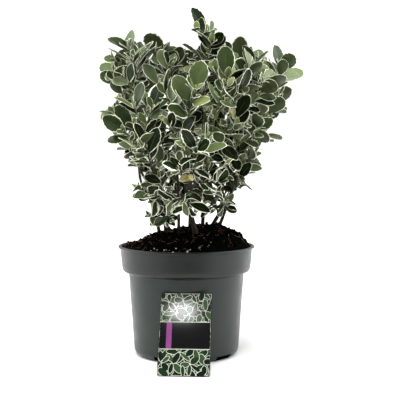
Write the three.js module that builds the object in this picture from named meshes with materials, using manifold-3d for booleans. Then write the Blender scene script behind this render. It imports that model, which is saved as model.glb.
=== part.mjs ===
// A young variegated evergreen shrub in a round nursery pot, with a plain picture card leaning on the pot.
// Millimetres, +Z up. The origin is the centre of the pot's flat underside, and -Y is the side with the card.

import * as THREE from 'three';
import { mergeVertices } from 'three/addons/utils/BufferGeometryUtils.js';
import Module from 'manifold-3d';

const wasm = await Module();
wasm.setup();

const UP = new THREE.Vector3(0, 0, 1);
const ALONG_X = new THREE.Vector3(1, 0, 0);
const CLEAR = 0.3;
const FLANK_CLEAR = 0.37;

// Pot
const POT_HEIGHT = 152;
const POT_SIDES = 36;
const RIM_RADIUS = 95;
const RIM_LIP = 3;
const BAND_TOP_RADIUS = 92;
const BAND_LOW_RADIUS = 89.5;
const BAND_HEIGHT = 38;
const STEP_HEIGHT = 5;
const BODY_TOP_RADIUS = 80.5;
const BASE_RADIUS = 73;
const BASE_ROUND = 9;
const POT_WALL = 1.6;
const POT_FLOOR = 8;
const NOTCHES = 5;
const NOTCH_FIRST_ANGLE = -44;
const NOTCH_WIDTH = 30;
const NOTCH_HEIGHT = 7;
const NOTCH_DEPTH = 9;

// Soil
const SOIL_BELOW_RIM = 5;
const MOUND_HEIGHT = 28;
const MOUND_SKEW = 0.56;
const SOIL_LUMP = 1.6;
const SOIL_RINGS = 2;
const STEM_SUNK = 12;
const STEM_SIDES = 6;
const STEM_FLARE = 0.15;
const BOUGH_FLARE = 0.15;
const BOUGH_SIDES = 5;

// Card
const CARD_WIDTH = 67.5;
const CARD_LENGTH = 112;
const CARD_THICKNESS = 0.7;
const CARD_LEAN = 30;
const CARD_TURN = -4.2;
const CARD_SLIDE = 6;

// Twigs and leaves
const INTERNODE = 18;
const SHOOT_RADIUS = 1.8;
const SIDE_SHOOT_RADIUS = 1.5;
const SHOOT_TIP_RADIUS = 1.2;
const SHOOT_SIDES = 3;
const SIDE_SHOOT_ANGLE = 48;
const SIDE_SHOOT_SHARE = 0.75;
const SHORTEST_SHOOT = 16;
const LONGEST_LEAF = 46;
const LEAF_WIDTH_SHARE = 0.55;
const LOW_LEAF_WIDTH = 0.72;
const LEAF_THICKNESS = 1.6;
const LEAF_THICKEST_AT = 0.35;
const LEAF_DROOP = 0.1;
const LEAF_OPENING = [32, 46, 60, 70, 78];
const LEAF_SIZE = [0.92, 1, 0.95, 0.86, 0.76];
const LEAF_ROLL = 36;
const LOW_LEAF_ROLL = 75;
const LOW_LEAF_SIZE = 0.62;
const LEAF_FACING_OUT = 0.9;
const LOW_LEAF_FACING_OUT = 0.15;
const FULL_LEAF_HEIGHT = 390;
const LEAF_TRIES = 6;
const CROWN_MIDDLE = [15, 30];
const SPACE_GAP = 0.5;
const LIMB_GAP = 0.8;
const LEAF_GAP = 0.7;
const SMOOTHING = 0.12;

// Each stem: its foot on the soil, its tip, how far its middle bows, and its radius at foot and tip.
const STEMS = {
  stem_front: { foot: [16, -47], tip: [-2, -72, 258], bow: [-3, 4, 0], radius: [3.8, 2.1] },
  stem_right: { foot: [30, 10], tip: [97, 5, 283], bow: [2, 0, 4], radius: [2.8, 1.8] },
  stem_top: { foot: [22, 28], tip: [25, 2, 345], bow: [3, -8, 0], radius: [2.6, 1.8] },
  stem_inner: { foot: [-11, 12], tip: [-20, 28, 326], bow: [3, 0, 0], radius: [2.3, 1.7] },
  stem_left: { foot: [-27, -16], tip: [-50, -62, 284], bow: [4, 6, 0], radius: [2.7, 1.8] },
  stem_left_back: { foot: [-20, 3], tip: [-57, -8, 325], bow: [-4, 2, 0], radius: [2.4, 1.7] },
  stem_back: { foot: [5, 48], tip: [8, 75, 300], bow: [0, 4, 0], radius: [2.8, 1.8] },
  stem_back_left: { foot: [-35, 32], tip: [-62, 62, 288], bow: [-3, 4, 0], radius: [2.6, 1.7] },
  stem_back_right: { foot: [42, 38], tip: [84, 68, 285], bow: [3, 2, 0], radius: [2.6, 1.7] },
};

// Each bough: the stem that it leaves and how far along, its tip, and its radius at foot and tip.
const BOUGHS = {
  bough_left: { from: 'stem_left', at: 0.6, tip: [-66, -48, 274], radius: [1.8, 1.6] },
  bough_left_low: { from: 'stem_left', at: 0.32, tip: [-48, -42, 216], radius: [1.8, 1.6] },
  bough_right_front: { from: 'stem_right', at: 0.36, tip: [47, -52, 290], radius: [2.0, 1.6] },
  bough_centre_right: { from: 'stem_front', at: 0.55, tip: [28, -82, 268], radius: [1.9, 1.6] },
  bough_right_back: { from: 'stem_right', at: 0.6, tip: [80, 44, 316], radius: [1.9, 1.6] },
  bough_back: { from: 'stem_back', at: 0.5, tip: [20, 100, 262], radius: [1.9, 1.6] },
  bough_back_left: { from: 'stem_back_left', at: 0.45, tip: [-68, 46, 254], radius: [1.8, 1.6] },
};

// Each mass of foliage: the limb that bears it and how far along, its top, and its number of side shoots.
const MASSES = {
  crown_top: { from: 'stem_top', at: 1, tip: [25, -1, 445], shoots: 3, turn: 2.9 },
  crown_left_top: { from: 'stem_left_back', at: 1, tip: [-76, -15, 419], shoots: 4, turn: 0.9 },
  crown_left_high: { from: 'stem_left_back', at: 0.78, tip: [-98, 34, 393], shoots: 3, turn: 1.8 },
  crown_left_back: { from: 'stem_left_back', at: 0.42, tip: [-61, 14, 282], shoots: 2, turn: 2 },
  crown_inner_top: { from: 'stem_inner', at: 1, tip: [-33, 33, 419], shoots: 3, turn: 2.7 },
  crown_inner: { from: 'stem_inner', at: 0.5, tip: [-37, 53, 322], shoots: 4, turn: 0.2 },
  crown_left: { from: 'bough_left', at: 1, tip: [-71, -73, 313], shoots: 3, turn: 0.5 },
  crown_left_front: { from: 'stem_left', at: 1, tip: [-67, -70, 340], shoots: 4, turn: 2.5 },
  crown_left_low_front: { from: 'stem_left', at: 0.62, tip: [-52, -106, 293], shoots: 5, turn: 0.5 },
  crown_centre: { from: 'stem_front', at: 1, tip: [9, -128, 358], shoots: 4, turn: 5.4 },
  crown_centre_left: { from: 'stem_front', at: 0.78, tip: [13, -147, 286], shoots: 5, turn: 0.8 },
  crown_centre_right: { from: 'bough_centre_right', at: 1, tip: [51, -125, 375], shoots: 5, turn: 1.2 },
  crown_right_top: { from: 'bough_right_front', at: 1, tip: [85, -54, 392], shoots: 5, turn: 2.8 },
  crown_right_back_top: { from: 'bough_right_back', at: 1, tip: [74, 53, 412], shoots: 5, turn: 0.8 },
  crown_right_end: { from: 'stem_right', at: 1, tip: [130, -2, 396], shoots: 3, turn: 2.5 },
  crown_right_front: { from: 'bough_right_front', at: 0.7, tip: [61, -91, 325], shoots: 5, turn: 0.1 },
  crown_right_middle: { from: 'stem_right', at: 0.8, tip: [114, -7, 338], shoots: 4, turn: 2.7 },
  crown_middle: { from: 'stem_top', at: 0.55, tip: [52, -27, 333], shoots: 5, turn: 1.7 },
  crown_centre_low: { from: 'stem_front', at: 0.68, tip: [-4, -117, 221], shoots: 3, turn: 1.3 },
  crown_centre_right_low: { from: 'bough_centre_right', at: 0.45, tip: [18, -45, 271], shoots: 2, turn: 0.4 },
  crown_left_low: { from: 'bough_left', at: 0.5, tip: [-36, -24, 294], shoots: 4, turn: 1.9 },
  crown_low_left: { from: 'bough_left_low', at: 1, tip: [-39, -53, 261], shoots: 2, turn: 2.7 },
  crown_low_front: { from: 'stem_left', at: 0.25, tip: [-32, -92, 257], shoots: 5, turn: 1.2 },
  crown_bottom_left: { from: 'stem_left_back', at: 0.16, tip: [-50, 8, 191], shoots: 5, turn: 0.2 },
  crown_bottom_right: { from: 'stem_right', at: 0.22, tip: [35, -35, 225], shoots: 4, turn: 0.8 },
  crown_right_low: { from: 'stem_right', at: 0.5, tip: [86, -17, 274], shoots: 4, turn: 2.3 },
  crown_back_top: { from: 'stem_back', at: 1, tip: [-2, 81, 414], shoots: 5, turn: 2.8 },
  crown_back_left_top: { from: 'stem_back_left', at: 1, tip: [-77, 78, 416], shoots: 5, turn: 1.7 },
  crown_back_right_top: { from: 'stem_back_right', at: 1, tip: [107, 101, 378], shoots: 4, turn: 0.3 },
  crown_back_left: { from: 'bough_back_left', at: 1, tip: [-101, 40, 334], shoots: 2, turn: 0.9 },
  crown_back: { from: 'bough_back', at: 1, tip: [24, 112, 362], shoots: 4, turn: 0.5 },
  crown_back_right: { from: 'stem_back_right', at: 0.6, tip: [87, 127, 296], shoots: 5, turn: 2 },
  crown_back_low: { from: 'stem_back', at: 0.36, tip: [-17, 102, 231], shoots: 3, turn: 1.6 },
  crown_back_low_left: { from: 'stem_back_left', at: 0.25, tip: [-37, 68, 232], shoots: 4, turn: 0.2 },
  crown_back_low_right: { from: 'stem_back_right', at: 0.3, tip: [56, 41, 244], shoots: 4, turn: 2.1 },
};

// Seeded chance

// A number from 0 to 1 that depends only on the whole numbers given.
function chance(...keys) {
  let mixed = 2166136261;
  for (const key of keys) mixed = Math.imul(mixed ^ (key + 1013), 16777619);
  mixed ^= mixed >>> 15;
  mixed = Math.imul(mixed, 2246822507);
  mixed ^= mixed >>> 13;
  mixed = Math.imul(mixed, 3266489909);
  mixed ^= mixed >>> 16;
  return (mixed >>> 0) / 4294967296;
}

function between(low, high, ...keys) {
  return low + (high - low) * chance(...keys);
}

const radians = THREE.MathUtils.degToRad;

function vector(numbers) {
  return new THREE.Vector3(...numbers);
}

// The part of a vector that is square to a unit vector, made one long.
function squareTo(along, v) {
  return v.clone().addScaledVector(along, -v.dot(along)).normalize();
}

// Solids

function solidOf(geometry) {
  const bare = geometry.index ? geometry.toNonIndexed() : geometry.clone();
  bare.deleteAttribute('normal');
  bare.deleteAttribute('uv');
  const merged = mergeVertices(bare, 1e-4);
  return new wasm.Manifold(new wasm.Mesh({
    numProp: 3,
    vertProperties: merged.attributes.position.array,
    triVerts: new Uint32Array(merged.index.array),
  }));
}

function geometryOf(solid) {
  const { vertProperties, triVerts } = solid.getMesh();
  const geometry = new THREE.BufferGeometry();
  geometry.setAttribute('position', new THREE.BufferAttribute(vertProperties, 3));
  geometry.setIndex(new THREE.BufferAttribute(triVerts, 1));
  geometry.computeVertexNormals();
  return geometry;
}

function finish(colour, roughness) {
  return new THREE.MeshStandardMaterial({ color: colour, roughness, metalness: 0 });
}

const FINISHES = {
  pot: finish(0x4d5453, 0.5),
  soil: finish(0x1a1512, 0.95),
  card: finish(0x26352a, 0.25),
  bark: finish(0x4a3b2b, 0.85),
  leaf: finish(0x4f6b46, 0.4),
};

const plant = new THREE.Group();

function addPiece(name, geometry, material) {
  const mesh = new THREE.Mesh(geometry, material);
  mesh.name = name;
  plant.add(mesh);
  return mesh;
}

// Limbs

// A path that bends once, from start by way of control to end.
function pathOf(start, control, end) {
  const chord = end.clone().sub(start).normalize();
  const level = new THREE.Vector3().crossVectors(chord, UP);
  const side = squareTo(chord, level.length() > 0.2 ? level : ALONG_X);
  const length = start.distanceTo(end);
  return { curve: new THREE.QuadraticBezierCurve3(start, control, end), side, length };
}

// Where a path is, a share of the way along, and the three directions of its ring there.
function stationOf(path, share) {
  const { v0, v1, v2 } = path.curve;
  const heading = v1.clone().sub(v0).multiplyScalar(1 - share);
  heading.addScaledVector(v2.clone().sub(v1), share).normalize();
  const side = squareTo(heading, path.side);
  const other = new THREE.Vector3().crossVectors(side, heading);
  return { point: path.curve.getPoint(share), heading, side, other };
}

// A cylinder whose rings are carried along the path, at the shares given, each with its own radius.
function limbGeometry(path, shares, radiusAt, sides) {
  const steps = shares.length - 1;
  const geometry = new THREE.CylinderGeometry(1, 1, 1, sides, steps);
  const stations = shares.map((share) => stationOf(path, share));
  const place = geometry.attributes.position;
  for (let i = 0; i < place.count; i++) {
    const ring = Math.round((place.getY(i) + 0.5) * steps);
    const { point, side, other } = stations[ring];
    const radius = radiusAt(shares[ring]);
    const moved = point.clone();
    moved.addScaledVector(side, place.getX(i) * radius);
    moved.addScaledVector(other, place.getZ(i) * radius);
    place.setXYZ(i, moved.x, moved.y, moved.z);
  }
  return geometry;
}

function evenShares(steps) {
  return Array.from({ length: steps + 1 }, (_, i) => i / steps);
}

// The radius of a limb a share of the way along, with its root flare.
function limbRadius(limb, share) {
  const [foot, tip] = limb.radius;
  const flare = limb.flare * Math.exp(-share * limb.path.length / 9);
  return (foot + (tip - foot) * share) * (1 + flare);
}

// How far the corners of a path's ring reach in a direction.
function ringReach({ side, other }, sides, radius, direction) {
  const corners = evenShares(sides).map((share) => share * Math.PI * 2);
  return radius * Math.max(...corners.map((turn) =>
    side.dot(direction) * Math.sin(turn) + other.dot(direction) * Math.cos(turn)));
}

// Where something springs from a limb's flank towards a target, just clear of the limb.
function springPoint(limb, at, target, radius, sides) {
  const station = stationOf(limb.path, at);
  const { point, heading } = station;
  if (at === 1) return { start: point.clone().addScaledVector(heading, CLEAR), lead: heading.clone() };
  const out = squareTo(heading, target.clone().sub(point));
  const lead = out.clone().addScaledVector(heading, 0.6).normalize();
  const foot = stationOf(pathOf(point, point.clone().add(lead), target), 0);
  const limbReach = ringReach(station, limb.sides, limbRadius(limb, at), out);
  const away = limbReach + FLANK_CLEAR + ringReach(foot, sides, radius, out.clone().negate());
  return { start: point.clone().addScaledVector(out, away), lead };
}

// Soil

// The height of the soil's surface, without its lumps.
function soilTop(x, y) {
  const share = Math.min(Math.hypot(x, y) / BAND_TOP_RADIUS, 1);
  const dome = MOUND_HEIGHT * (1 - share ** 3) * (1 + MOUND_SKEW * x / BAND_TOP_RADIUS);
  return POT_HEIGHT - SOIL_BELOW_RIM + dome;
}

const limbs = {};

for (const [name, stem] of Object.entries(STEMS)) {
  const [x, y] = stem.foot;
  const start = new THREE.Vector3(x, y, soilTop(x, y) - STEM_SUNK);
  const end = vector(stem.tip);
  const middle = start.clone().add(end).multiplyScalar(0.5).add(vector(stem.bow).multiplyScalar(2));
  const path = pathOf(start, middle, end);
  limbs[name] = { path, radius: stem.radius, flare: STEM_FLARE, sides: STEM_SIDES };
}

for (const [name, bough] of Object.entries(BOUGHS)) {
  const end = vector(bough.tip);
  const reach = bough.radius[0] * (1 + BOUGH_FLARE);
  const { start, lead } = springPoint(limbs[bough.from], bough.at, end, reach, BOUGH_SIDES);
  const control = start.clone().addScaledVector(lead, start.distanceTo(end) * 0.45);
  const path = pathOf(start, control, end);
  limbs[name] = { path, radius: bough.radius, flare: BOUGH_FLARE, sides: BOUGH_SIDES };
}

for (const [name, limb] of Object.entries(limbs)) {
  const shares = evenShares(Math.max(6, Math.round(limb.path.length / 20)));
  limb.geometry = limbGeometry(limb.path, shares, (share) => limbRadius(limb, share), limb.sides);
  addPiece(name, limb.geometry, FINISHES.bark);
}

// Points down the middle of every limb, for keeping leaves and twigs off them.
const limbPoints = [];
for (const limb of Object.values(limbs)) {
  for (const share of evenShares(Math.round(limb.path.length / 4))) {
    limbPoints.push({ point: stationOf(limb.path, share).point, radius: limbRadius(limb, share), limb });
  }
}

// Pot

// The wall's profile, from the middle of the underside round to the middle of the floor inside.
function potProfile() {
  const bandFoot = POT_HEIGHT - BAND_HEIGHT;
  const outside = [
    [0, 0],
    [BASE_RADIUS - BASE_ROUND, 0],
    [BASE_RADIUS - BASE_ROUND * 0.3, BASE_ROUND * 0.3],
    [BASE_RADIUS, BASE_ROUND],
    [BODY_TOP_RADIUS, bandFoot],
    [BAND_LOW_RADIUS, bandFoot + STEP_HEIGHT],
    [BAND_TOP_RADIUS, POT_HEIGHT - RIM_LIP],
    [RIM_RADIUS, POT_HEIGHT - RIM_LIP + 0.6],
    [RIM_RADIUS, POT_HEIGHT],
  ];
  const inside = [
    [BAND_TOP_RADIUS - POT_WALL, POT_HEIGHT],
    [BAND_LOW_RADIUS - POT_WALL, bandFoot + STEP_HEIGHT],
    [BODY_TOP_RADIUS - POT_WALL, bandFoot + POT_WALL],
    [BASE_RADIUS - POT_WALL, BASE_ROUND],
    [BASE_RADIUS - POT_WALL - BASE_ROUND * 0.5, POT_FLOOR],
    [0, POT_FLOOR],
  ];
  return [...outside, ...inside].map(([x, y]) => new THREE.Vector2(x, y));
}

function potGeometry() {
  const shell = new THREE.LatheGeometry(potProfile(), POT_SIDES).rotateX(Math.PI / 2);
  let pot = solidOf(shell);
  for (let i = 0; i < NOTCHES; i++) {
    const notch = new THREE.BoxGeometry(NOTCH_DEPTH, NOTCH_WIDTH, NOTCH_HEIGHT * 2);
    notch.translate(BASE_RADIUS - NOTCH_DEPTH / 2 + 1, 0, 0);
    notch.rotateZ(radians(NOTCH_FIRST_ANGLE + i * 360 / NOTCHES));
    pot = pot.subtract(solidOf(notch));
  }
  return geometryOf(pot);
}

addPiece('pot', potGeometry(), FINISHES.pot);

// The soil fills the pot just clear of its wall, and its top is a lumpy mound with a socket for each stem.
function soilGeometry() {
  const bandFoot = POT_HEIGHT - BAND_HEIGHT;
  const inset = POT_WALL + CLEAR;
  const edgeRadius = BAND_TOP_RADIUS - inset - 0.4;
  const profile = [
    [0, POT_FLOOR + CLEAR],
    [BASE_RADIUS - inset - BASE_ROUND * 0.5 - 0.3, POT_FLOOR + CLEAR],
    [BASE_RADIUS - inset - 0.3, BASE_ROUND + CLEAR],
    [BODY_TOP_RADIUS - inset - 0.3, bandFoot + POT_WALL + 0.4],
    [BAND_LOW_RADIUS - inset - 0.3, bandFoot + STEP_HEIGHT + 0.6],
  ];
  for (let ring = SOIL_RINGS; ring >= 0; ring--) profile.push([edgeRadius * ring / SOIL_RINGS, POT_HEIGHT]);
  const points = profile.map(([x, y]) => new THREE.Vector2(x, y));
  const geometry = new THREE.LatheGeometry(points, POT_SIDES).rotateX(Math.PI / 2);
  const place = geometry.attributes.position;
  for (let i = 0; i < place.count; i++) {
    const [x, y, z] = [place.getX(i), place.getY(i), place.getZ(i)];
    if (z < POT_HEIGHT - 0.1) continue;
    const cell = [Math.round(x * 2), Math.round(y * 2)];
    const atEdge = Math.hypot(x, y) > edgeRadius - 1;
    const lump = atEdge ? 0 : between(-SOIL_LUMP, SOIL_LUMP, ...cell);
    place.setZ(i, soilTop(x, y) + lump);
  }
  let soil = solidOf(geometry);
  for (const name of Object.keys(STEMS)) {
    const limb = limbs[name];
    const wide = (share) => limbRadius(limb, share) * 1.1 + CLEAR;
    const reach = (STEM_SUNK + 8) / limb.path.length;
    const socket = limbGeometry(limb.path, [-CLEAR / limb.path.length, reach], wide, limb.sides);
    soil = soil.subtract(solidOf(socket));
  }
  return geometryOf(soil);
}

addPiece('soil', soilGeometry(), FINISHES.soil);

// The card stands on its lower edge in front of the pot, and its upper edge leans on the pot's body.
function addCard() {
  const lean = radians(CARD_LEAN);
  const topShare = (CARD_LENGTH * Math.cos(lean) - BASE_ROUND) / (POT_HEIGHT - BAND_HEIGHT - BASE_ROUND);
  const wallRadius = BASE_RADIUS + (BODY_TOP_RADIUS - BASE_RADIUS) * topShare;
  const footAway = wallRadius + CLEAR + CARD_LENGTH * Math.sin(lean);
  const geometry = new THREE.BoxGeometry(CARD_WIDTH, CARD_THICKNESS, CARD_LENGTH);
  geometry.translate(0, -CARD_THICKNESS / 2, CARD_LENGTH / 2);
  geometry.rotateX(-lean);
  geometry.translate(CARD_SLIDE, -footAway, 0);
  geometry.rotateZ(radians(CARD_TURN));
  addPiece('label_card', geometry, FINISHES.card);
}

addCard();

// Foliage

// The main shoot of each mass, and the line that its space lies round.
const masses = Object.entries(MASSES).map(([name, mass], index) => {
  const end = vector(mass.tip);
  const { start, lead } = springPoint(limbs[mass.from], mass.at, end, SHOOT_RADIUS, SHOOT_SIDES);
  const control = start.clone().addScaledVector(lead, start.distanceTo(end) * 0.4);
  const path = pathOf(start, control, end);
  const beyond = end.clone().addScaledVector(end.clone().sub(start).normalize(), LONGEST_LEAF / 2);
  return { name, index, ...mass, path, line: new THREE.Line3(start.clone(), beyond) };
});

function distanceToLine(line, point) {
  return line.closestPointToPoint(point, true, new THREE.Vector3()).distanceTo(point);
}

// Whether every point is nearer to the mass's own line than to any other's, by the gap.
function insideSpace(mass, points) {
  return points.every((point) => {
    if (point.z < soilTop(point.x, point.y) + 2 || point.z < POT_HEIGHT + 3) return false;
    const own = distanceToLine(mass.line, point);
    return masses.every((other) => other === mass || distanceToLine(other.line, point) > own + SPACE_GAP);
  });
}

// The nodes of a shoot, each a distance from its tip, set on the straight lines between its rings.
function nodesOf(path, segments, radiusAt) {
  const nodes = [];
  for (let k = 0; ; k++) {
    const share = 1 - (2 + INTERNODE * (k - 0.3 * Math.min(k, 1))) / path.length;
    if (share * path.length < INTERNODE * 0.4) return nodes;
    const ring = Math.min(Math.floor(share * segments), segments - 1);
    const [low, high] = [ring, ring + 1].map((i) => stationOf(path, i / segments).point);
    const point = low.clone().lerp(high, share * segments - ring);
    const heading = high.clone().sub(low).normalize();
    const side = squareTo(heading, path.side);
    const other = new THREE.Vector3().crossVectors(side, heading);
    nodes.push({ point, heading, side, other, radius: radiusAt(share), share });
  }
}

// The direction square to a shoot in which a leaf or side shoot stands, for a turn about the shoot.
function outward(station, turn) {
  return station.side.clone().multiplyScalar(Math.cos(turn)).addScaledVector(station.other, Math.sin(turn));
}

// A side shoot from one node of the main shoot, shortened until it keeps to the mass's space, or nothing.
function sideShoot(mass, main, order) {
  const node = main.nodes.length - 1 - order % Math.max(1, main.nodes.length - 1);
  const station = main.nodes[node];
  if (!station) return null;
  const turn = mass.turn + node * Math.PI / 2 + (order % 2) * Math.PI;
  const angle = radians(SIDE_SHOOT_ANGLE + between(-8, 8, mass.index, order, 1));
  const out = outward(station, turn);
  const lead = station.heading.clone().multiplyScalar(Math.cos(angle)).addScaledVector(out, Math.sin(angle));
  const rest = mass.path.length * (1 - station.share) * SIDE_SHOOT_SHARE + SHORTEST_SHOOT * 0.8;
  for (let length = rest; length > SHORTEST_SHOOT; length *= 0.8) {
    const start = station.point.clone();
    const end = start.clone().addScaledVector(lead, length * 0.92).addScaledVector(UP, length * 0.16);
    const path = pathOf(start, start.clone().lerp(end, 0.5), end);
    const points = [0.25, 0.5, 0.75, 1].map((share) => stationOf(path, share).point);
    const clear = points.every((point) => limbPoints.every(
      (limb) => limb.point.distanceTo(point) > limb.radius + SIDE_SHOOT_RADIUS + 2 * LIMB_GAP));
    if (clear && insideSpace(mass, points)) return path;
  }
  return null;
}

// The level direction from the middle of the crown to a point.
function outOfCrown(point) {
  const x = point.x - CROWN_MIDDLE[0];
  const y = point.y - CROWN_MIDDLE[1];
  const away = Math.hypot(x, y) + 5;
  return new THREE.Vector3(x / away, y / away, 0);
}

// One leaf: its root, its three directions (along the blade, up from the blade, across it), length and width.
function leafFrame(mass, shoot, node, side, attempt) {
  const keys = [mass.index, shoot.order, node, side, attempt];
  const station = shoot.nodes[node];
  const rank = Math.min(node, LEAF_SIZE.length - 1);
  const height = THREE.MathUtils.smoothstep(station.point.z, POT_HEIGHT, FULL_LEAF_HEIGHT);
  const size = LEAF_SIZE[rank] * THREE.MathUtils.lerp(LOW_LEAF_SIZE, 1, height);
  const turn = mass.turn + node * Math.PI / 2 + side * Math.PI + between(-0.35, 0.35, ...keys, 1);
  const angle = radians(LEAF_OPENING[rank] + between(-10, 14, ...keys, 2));
  const out = outward(station, turn);
  const along = station.heading.clone().multiplyScalar(Math.cos(angle)).addScaledVector(out, Math.sin(angle));
  const facingOut = THREE.MathUtils.lerp(LOW_LEAF_FACING_OUT, LEAF_FACING_OUT, height);
  const light = station.heading.clone().addScaledVector(UP, 0.5)
    .addScaledVector(outOfCrown(station.point), facingOut);
  const level = squareTo(along, light);
  const across = new THREE.Vector3().crossVectors(level, along);
  const roll = radians(THREE.MathUtils.lerp(LOW_LEAF_ROLL, LEAF_ROLL, height) * between(-1, 1, ...keys, 3));
  const up = level.clone().multiplyScalar(Math.cos(roll)).addScaledVector(across, Math.sin(roll));
  const length = LONGEST_LEAF * size * between(0.84, 1.04, ...keys, 4) * (1 - 0.07 * attempt);
  const widthShare = LEAF_WIDTH_SHARE * THREE.MathUtils.lerp(LOW_LEAF_WIDTH, 1, height);
  const width = length * widthShare * between(0.9, 1.1, ...keys, 5);
  const root = station.point.clone().addScaledVector(along, -0.42 * station.radius / Math.sin(angle));
  return { root, along, up, across: new THREE.Vector3().crossVectors(up, along), length, width };
}

// A point of a leaf, from its place along the blade (0 to 1), across it (-1 to 1) and its height above it.
function leafPoint(leaf, share, sideways, height) {
  return leaf.root.clone()
    .addScaledVector(leaf.along, share * leaf.length)
    .addScaledVector(leaf.across, sideways * leaf.width / 2)
    .addScaledVector(leaf.up, height - LEAF_DROOP * leaf.length * share * share);
}

// How far a blade reaches to either side, as a share of half its width.
function bladeReach(share) {
  const angle = Math.acos(1 - 2 * THREE.MathUtils.clamp(share, 0, 1) ** 1.25);
  return Math.sin(angle) * 1.1;
}

// Points spread over a leaf's blade and rim.
function leafPoints(leaf) {
  const points = [];
  for (const share of [0.18, 0.34, 0.5, 0.66, 0.8, 0.92]) {
    const reach = bladeReach(share);
    for (const sideways of [-1, -0.5, 0, 0.5, 1]) points.push(leafPoint(leaf, share, sideways * reach, 0));
  }
  points.push(leafPoint(leaf, 1, 0, 0));
  return points;
}

// Whether a round thing at a point touches the blade, beyond the share of its length next to the root.
function touchesLeaf(leaf, point, radius, rootShare) {
  const from = point.clone().sub(leaf.root);
  const share = from.dot(leaf.along) / leaf.length;
  if (share < rootShare || share > 1 + radius / leaf.length) return false;
  if (Math.abs(from.dot(leaf.across)) > leaf.width / 2 * bladeReach(share) + radius) return false;
  const height = from.dot(leaf.up) + LEAF_DROOP * leaf.length * share * share;
  return height > -radius && height < radius + LEAF_THICKNESS;
}

function leafFits(mass, leaf, grown) {
  const points = leafPoints(leaf);
  if (!insideSpace(mass, points)) return false;
  if (limbPoints.some((limb) => touchesLeaf(leaf, limb.point, limb.radius + LIMB_GAP, -0.1))) return false;
  if (mass.twigPoints.some((twig) => touchesLeaf(leaf, twig, SIDE_SHOOT_RADIUS, 0.2))) return false;
  return grown.every((other) =>
    !other.points.some((point) => touchesLeaf(leaf, point, LEAF_GAP, 0.06))
    && !points.some((point) => touchesLeaf(other.leaf, point, LEAF_GAP, 0.06)));
}

// A leaf's solid: a hexagonal outline with one corner at the root, flat below and ridged to one point on top.
function leafGeometry(leaf) {
  const corners = [];
  for (let i = 0; i < 6; i++) corners.push(-Math.cos(i * Math.PI / 3), -Math.sin(i * Math.PI / 3), 0);
  corners.push(0, 0, 1);
  const top = [0, 1, 6, 1, 2, 6, 2, 3, 6, 3, 4, 6, 4, 5, 6, 5, 0, 6];
  const under = [0, 5, 1, 1, 5, 4, 1, 4, 2, 2, 4, 3];
  const geometry = new THREE.PolyhedronGeometry(corners, [...top, ...under], 1, 0);
  const place = geometry.attributes.position;
  for (let i = 0; i < place.count; i++) {
    const raised = place.getZ(i);
    const share = raised > 0.5 ? LEAF_THICKEST_AT : ((place.getX(i) + 1) / 2) ** 0.8;
    const moved = leafPoint(leaf, share, place.getY(i) * 1.1, raised * LEAF_THICKNESS);
    place.setXYZ(i, moved.x, moved.y, moved.z);
  }
  return geometry;
}

function shootAlong(path, order, foot, segments) {
  const radiusAt = (share) => foot + (SHOOT_TIP_RADIUS - foot) * share;
  return { path, order, segments, radiusAt, nodes: nodesOf(path, segments, radiusAt) };
}

// The main shoot of a mass and its side shoots.
function shootsOf(mass) {
  const main = shootAlong(mass.path, 0, SHOOT_RADIUS, Math.max(2, Math.round(mass.path.length / 30)));
  const shoots = [main];
  for (let order = 0; order < mass.shoots; order++) {
    const path = sideShoot(mass, main, order);
    if (path) shoots.push(shootAlong(path, order + 1, SIDE_SHOOT_RADIUS, 1));
  }
  return shoots;
}

// All leaves of a mass that fit, each tried a few ways.
function leavesOf(mass, shoots) {
  const grown = [];
  mass.twigPoints = shoots.flatMap(({ path }) =>
    evenShares(Math.round(path.length / 4)).map((share) => stationOf(path, share).point));
  for (const shoot of shoots) {
    for (let node = 0; node < shoot.nodes.length; node++) {
      for (const side of [0, 1]) {
        for (let attempt = 0; attempt < LEAF_TRIES; attempt++) {
          const leaf = leafFrame(mass, shoot, node, side, attempt);
          if (!leafFits(mass, leaf, grown)) continue;
          grown.push({ leaf, points: leafPoints(leaf) });
          break;
        }
      }
    }
  }
  return grown.map(({ leaf }) => leaf);
}

// A mass as one solid: its twigs and leaves joined.
function massGeometry(mass) {
  const shoots = shootsOf(mass);
  const solids = shoots.map(({ path, segments, radiusAt }) =>
    solidOf(limbGeometry(path, evenShares(segments), radiusAt, SHOOT_SIDES)));
  const leaves = leavesOf(mass, shoots);
  solids.push(...leaves.map((leaf) => solidOf(leafGeometry(leaf))));
  const joined = solids.reduce((whole, solid) => whole.add(solid)).asOriginal().simplify(SMOOTHING);
  const pieces = joined.decompose().sort((a, b) => b.volume() - a.volume());
  return geometryOf(pieces[0]);
}

for (const mass of masses) addPiece(mass.name, massGeometry(mass), FINISHES.leaf);

export default plant;
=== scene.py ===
"""Looks for a young variegated evergreen shrub in a nursery pot, with a picture card leaning on it.

The shapes are worked out in millimetres, +Z up, from the same named sizes and the same seeded rule as the
solids, and carried on to finer twigs and leaves. Meshes are built in metres.
"""

import math

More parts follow.
